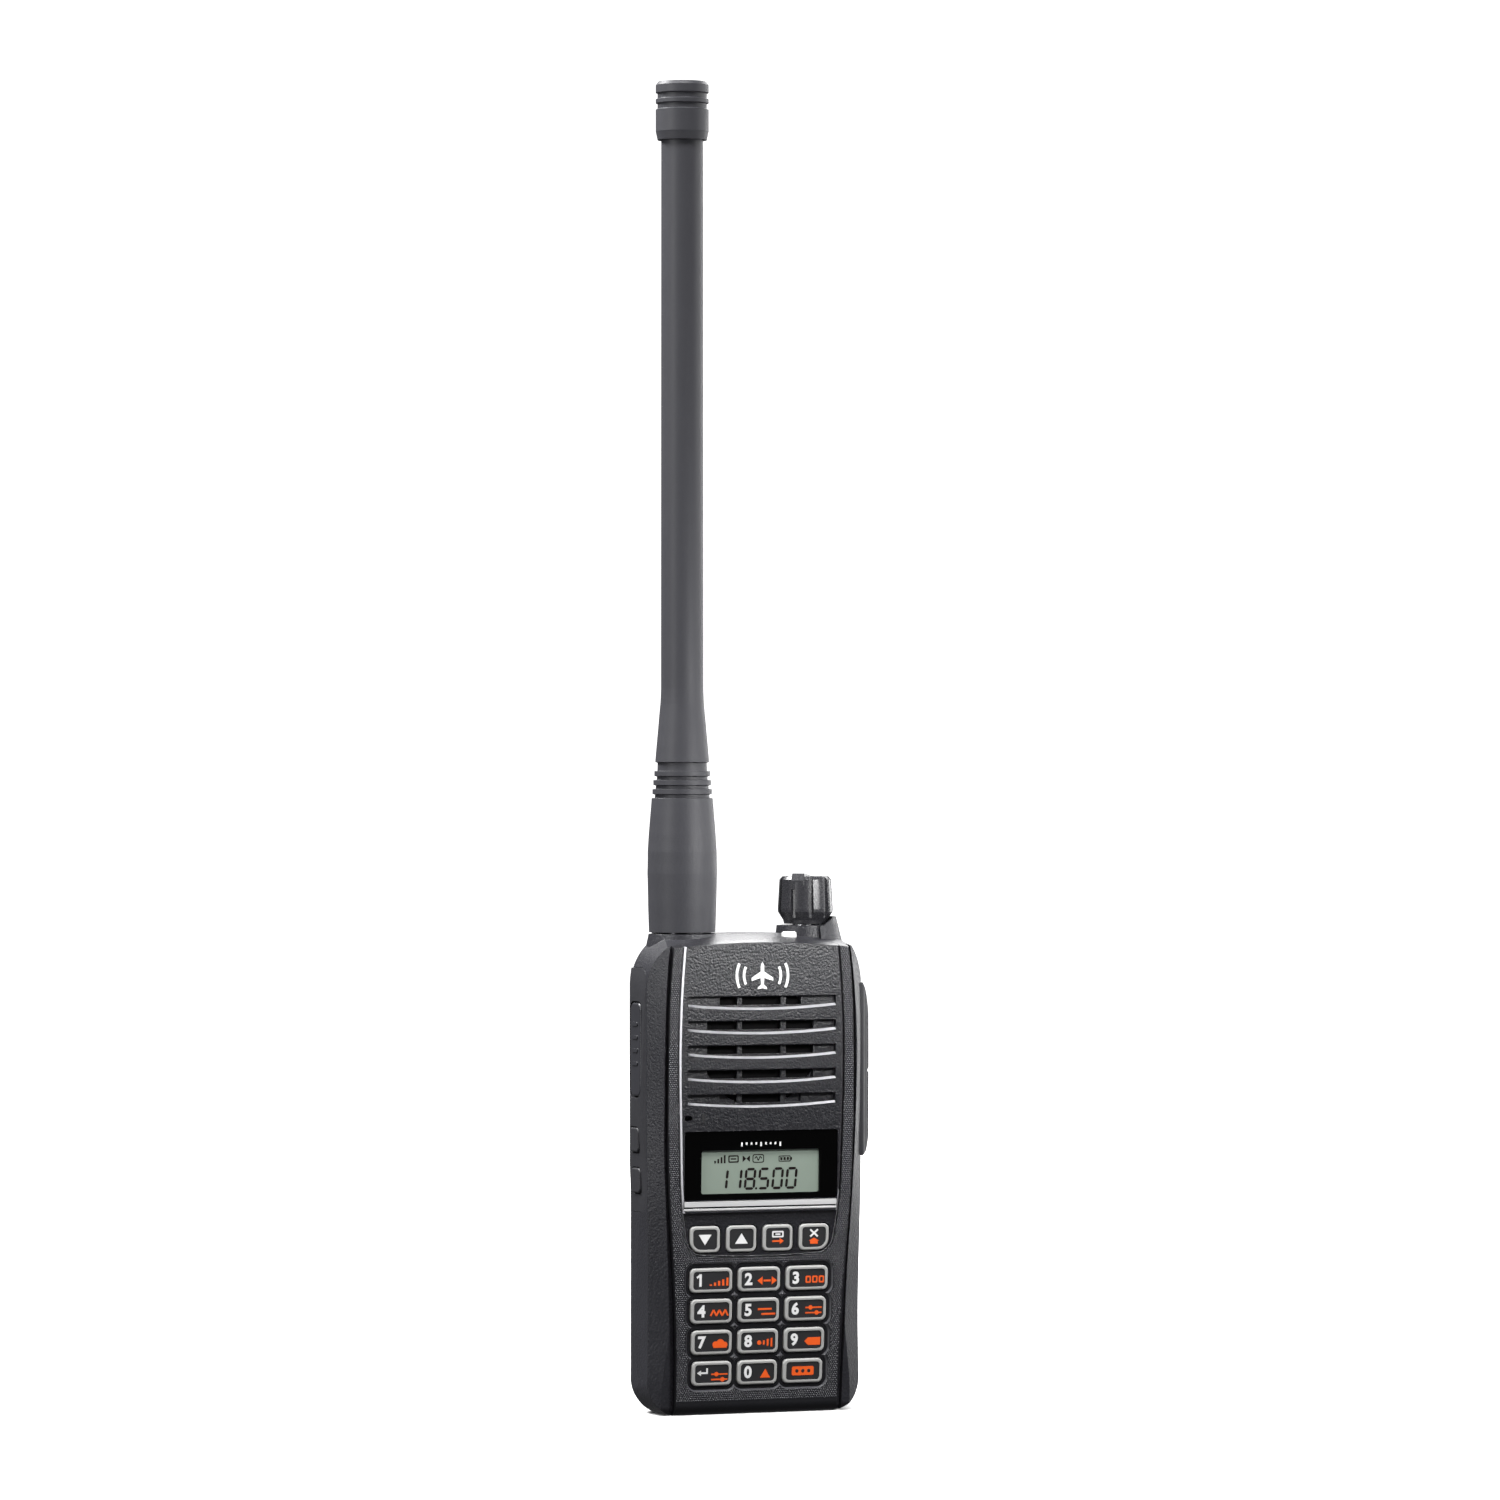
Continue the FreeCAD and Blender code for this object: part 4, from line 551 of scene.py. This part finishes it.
step_shadow = Solid()                                              # the shadow line along the trim's step
step_shadow.bar(-19.0, 0, 19.0, 0, 0.34, -0.01, 0.02)
step_shadow.make("trim_step_shadow", DARK_MARK_AND_SHADOW, "trim", "radio", face_matrix(0, STEP_SHADOW_Z, 0.45))

# ------------------------------------------------------------------ emblem and small marks on the panel
emblem = Solid()                                              # an aeroplane between two pairs of arcs
left_half = [(-0.42, 2.2), (-0.42, 0.9), (-2.7, -0.55), (-2.7, -1.25), (-0.42, -0.55), (-0.34, -2.1),
             (-1.1, -2.75), (-1.1, -3.2)]
emblem.plate([(0, 3.2)] + left_half + [(0, -2.9)] + [(-x, y) for x, y in reversed(left_half)],
             SUNK, EMBLEM_TOP)
for side in (-1, 1):
    for radius in (4.6, 6.4):
        turns = [math.radians(-26 + 52 * i / 12) for i in range(13)]
        emblem.path([(side * radius * math.cos(a), radius * math.sin(a)) for a in turns],
                    0.62, SUNK, EMBLEM_TOP)
emblem.make("emblem", EMBLEM, "panel_plastic", "radio", face_matrix(0, EMBLEM_Z, 0.0))

mark = Solid()                                                # a small microphone sign in relief
mark.plate(rounded(0, 0.2, 0.8, 1.5, 0.38, 4), SUNK, SIGN_TOP)
mark.bar(0, -1.1, 0, -0.6, 0.2, SUNK, SIGN_TOP)
mark.bar(-0.5, -1.1, 0.5, -1.1, 0.2, SUNK, SIGN_TOP)
mark.make("microphone_sign", DARK_MARK_AND_SHADOW, "panel_plastic", "radio", face_matrix(-14.6, 69.0, 0.0))


# ------------------------------------------------------------------ painted highlights on edges and hollows, and the knurled bezel
def skin(name, material, body, node, wanted, lift=0.00002):
    """A thin closed layer over those faces of a CAD node for which wanted(middle in mm, normal) is true."""
    mesh = frame["nodes"][node].data
    shell = bmesh.new()
    made = {}
    for p in mesh.polygons:
        middle = p.center / MM
        if wanted(middle, p.normal):
            for i in p.vertices:
                key = tuple(round(c, 7) for c in mesh.vertices[i].co)
                if key not in made:
                    made[key] = shell.verts.new(mesh.vertices[i].co)
            corners = []
            for i in p.vertices:
                v = made[tuple(round(c, 7) for c in mesh.vertices[i].co)]
                if v not in corners:
                    corners.append(v)
            if len(corners) > 2 and shell.faces.get(corners) is None:
                shell.faces.new(corners)
    shell.normal_update()
    for v in shell.verts:
        v.co += v.normal * lift
    bmesh.ops.solidify(shell, geom=shell.faces[:], thickness=lift * 1.5)
    bmesh.ops.recalc_face_normals(shell, faces=shell.faces[:])
    verts = [v.co.copy() for v in shell.verts]
    index = {v: i for i, v in enumerate(shell.verts)}
    faces = [[index[v] for v in f.verts] for f in shell.faces]
    shell.free()
    return piece(name, material, body, verts, faces)


def panel_highlight_edge(middle, normal):
    """The raised panel's bevel, where a light strip is painted as a highlight: the left side, the right side
    below the display, and the bottom.
    """
    sloped = -0.9 < normal.y < -0.45
    depth = middle.y - face_y(middle.z)
    rim = middle.x < -17.2 or (middle.x > 17.2 and middle.z < 52) or middle.z < 39.5
    return sloped and depth < 0.62 and rim and middle.z < 109 and abs(normal.z) < 0.9


def slot_lip(middle, normal):
    """The sloped lower lip of each speaker slot, where a light strip is painted as a highlight."""
    return 70 < middle.z < 97.5 and abs(middle.x) < 18.6 and normal.z > 0.35 and normal.y < -0.25


def key_surround(middle, normal):
    """The sloped sides of the hollows around the number keys, which get a lighter skin as a painted sheen."""
    return -0.95 < normal.y < -0.35 and 4.5 < middle.z < 36 and abs(middle.x) < 18.8


# a lighter skin on the slopes round the keys: a painted sheen
skin("key_surround_sheen", DISH_SHEEN, "radio", "front_bezel", key_surround)
# a light strip on the lit sides of the panel's bevel: a painted highlight
skin("panel_rim_highlight", RIM_HIGHLIGHT, "radio", "front_panel", panel_highlight_edge)
# a light strip on the slot lips: a painted highlight
skin("slot_lip_highlights", LIP_HIGHLIGHT, "radio", "front_panel", slot_lip)


def knurl_studs(node, pitch, low, high):
    """Small six-sided studs in staggered rows, wherever the node shows its plain front surface."""
    mesh = frame["nodes"][node].data
    tree = BVHTree.FromPolygons([v.co for v in mesh.vertices], [p.vertices for p in mesh.polygons])
    reach, row_pitch = pitch * 0.3, pitch * 0.866
    verts, faces = [], []

    def front(x, z):
        """Where a ray from the front meets the plain surface, or None."""
        hit, normal, _, _ = tree.ray_cast(Vector((x, -0.03, z)), Vector((0, 1, 0)), 0.03)
        if hit is None or abs(normal.y) < 0.985:
            return None
        expected = (face_y(z / MM) + BEZEL_DEPTH) * MM
        return hit.y if abs(hit.y - expected) < 0.00008 else None

    for row in range(int((high - low) / row_pitch)):
        z = low + row * row_pitch
        for c in range(-46, 47):
            x = (c + 0.5 * (row % 2)) * pitch
            y = front(x, z)
            around = ((x - reach, z), (x + reach, z), (x, z - reach), (x, z + reach))
            if y is None or any(front(*spot) is None for spot in around):
                continue
            base = len(verts)
            for radius, rise in STUD_RINGS:
                for k in range(6):
                    a, r = math.radians(60 * k + 30), pitch * radius
                    verts.append((x + r * math.cos(a), y - rise, z + r * math.sin(a)))
            faces.append([base + k for k in range(6)])
            faces.append([base + 6 + k for k in reversed(range(6))])
            faces += [[base + k, base + 6 + k, base + 6 + (k + 1) % 6, base + (k + 1) % 6]
                      for k in range(6)]
    return verts, faces


stud_verts, stud_faces = knurl_studs("front_bezel", STUD_PITCH, KNURL_LOW, KNURL_HIGH)
piece("bezel_knurl", KNURL_SHEEN, "radio", stud_verts, stud_faces)

# ------------------------------------------------------------------ camera, floor and light
RANGE, SIDE, EYE = 1.735, 0.0017, 0.1542       # the camera's distance, sideways shift and height
BEARING = math.radians(22)                     # how far it stands round to the radio's side
SENSOR, LENS = 36, 178.32                      # the sensor's width and the focal length, in millimetres
right = Vector((math.cos(BEARING), -math.sin(BEARING), 0))
ahead = Vector((math.sin(BEARING), math.cos(BEARING), 0))
camera_data = bpy.data.cameras.new("camera")
camera_data.sensor_width = SENSOR
camera_data.lens = LENS
camera_data.clip_start = 0.05
camera_data.clip_end = 50
camera = bpy.data.objects.new("camera", camera_data)
place = -RANGE * ahead + SIDE * right + Vector((0, 0, EYE))
camera.matrix_world = Matrix.Translation(place) @ Matrix((
    (right.x, 0, -ahead.x, 0), (right.y, 0, -ahead.y, 0), (0, 1, 0, 0), (0, 0, 0, 1)))
bpy.context.scene.collection.objects.link(camera)
bpy.context.scene.camera = camera


def backdrop():
    """A pale floor that curves up into a wall far behind the object, all the way round."""
    flat, curve, top, count = 2.2, 1.2, 3.0, 96
    turns = [math.radians(7.5 * k) for k in range(1, 13)]
    profile = [(0.6, 0.0), (flat, 0.0)]
    profile += [(flat + curve * math.sin(a), curve - curve * math.cos(a)) for a in turns]
    profile += [(flat + curve, top)]
    verts, faces, rings = [(0, 0, 0)], [], []
    for radius, height in profile:
        rings.append(len(verts))
        for k in range(count):
            a = 2 * math.pi * k / count
            verts.append((radius * math.cos(a), radius * math.sin(a), height))
    for k in range(count):
        faces.append([0, rings[0] + k, rings[0] + (k + 1) % count])
        for a, b in zip(rings, rings[1:]):
            faces.append([a + k, b + k, b + (k + 1) % count, a + (k + 1) % count])
    mesh = bpy.data.meshes.new("floor")
    mesh.from_pydata(verts, [], faces)
    mesh.polygons.foreach_set("use_smooth", [True] * len(mesh.polygons))
    floor_material, nodes, links, shader = new_material("floor", Roughness=0.9)
    shader.inputs["Specular IOR Level"].default_value = 0.0
    coords = nodes.new("ShaderNodeTexCoord").outputs["Object"]
    cloudy = noise(nodes, links, coords, 3.0, 2.0)
    links.new(colour_mix(nodes, links, cloudy, rgb(206), rgb(211)), shader.inputs["Base Color"])
    away = nodes.new("ShaderNodeVectorMath")
    away.operation = "LENGTH"
    links.new(coords, away.inputs[0])
    shader.inputs["Emission Color"].default_value = (1, 1, 1, 1)
    links.new(spread(nodes, links, away.outputs["Value"], 0.15, 1.0, 0.0, 1.1),
              shader.inputs["Emission Strength"])
    mesh.materials.append(floor_material)
    o = bpy.data.objects.new("floor", mesh)
    o.visible_diffuse = o.visible_glossy = False      # dark plastic would only mirror the pale floor
    bpy.context.scene.collection.objects.link(o)


def softbox(name, bearing, height, distance, size, watts, aim=(0, 0, 0.15)):
    """A rectangular light. bearing and height are degrees, seen from aim: 0 is towards the camera."""
    a = BEARING - math.radians(bearing)
    level = math.radians(height)
    way = Vector((-math.sin(a) * math.cos(level), -math.cos(a) * math.cos(level), math.sin(level)))
    spot = way * distance + Vector(aim)
    light = bpy.data.lights.new(name, "AREA")
    light.shape = "RECTANGLE"
    light.size, light.size_y = size
    light.energy = watts
    o = bpy.data.objects.new(name, light)
    o.location = spot
    o.rotation_euler = (Vector(aim) - spot).to_track_quat("-Z", "Y").to_euler()
    o.visible_camera = False
    bpy.context.scene.collection.objects.link(o)


backdrop()
# name, bearing, height, distance, size, watts and, for the near one, its aim
for setup in (
        ("key_light", -50, 18, 1.5, (0.3, 1.4), 15),
        ("left_top_light", -80, 50, 1.4, (0.5, 0.3), 14),
        ("left_rim_light", -114, 46, 1.4, (0.5, 0.4), 42),
        ("high_light", 10, 64, 1.3, (0.6, 0.4), 26),
        ("sheen_light", 46, 15, 0.13, (0.1, 0.02), 0.25, (0.002, -0.012, 0.112)),
        ("back_light", 170, 38, 1.5, (0.9, 0.7), 22),
        ("back_side_light", 140, 12, 1.5, (0.4, 1.4), 12),
        ("right_light", 98, 10, 1.5, (0.5, 1.4), 14)):
    softbox(*setup)
world = bpy.data.worlds.new("world")
world.use_nodes = True
sky = world.node_tree.nodes["Background"].inputs
sky["Color"].default_value = (0.95, 0.96, 1.0, 1)
sky["Strength"].default_value = 0.12
bpy.context.scene.world = world
bpy.context.scene.view_settings.view_transform = "Standard"
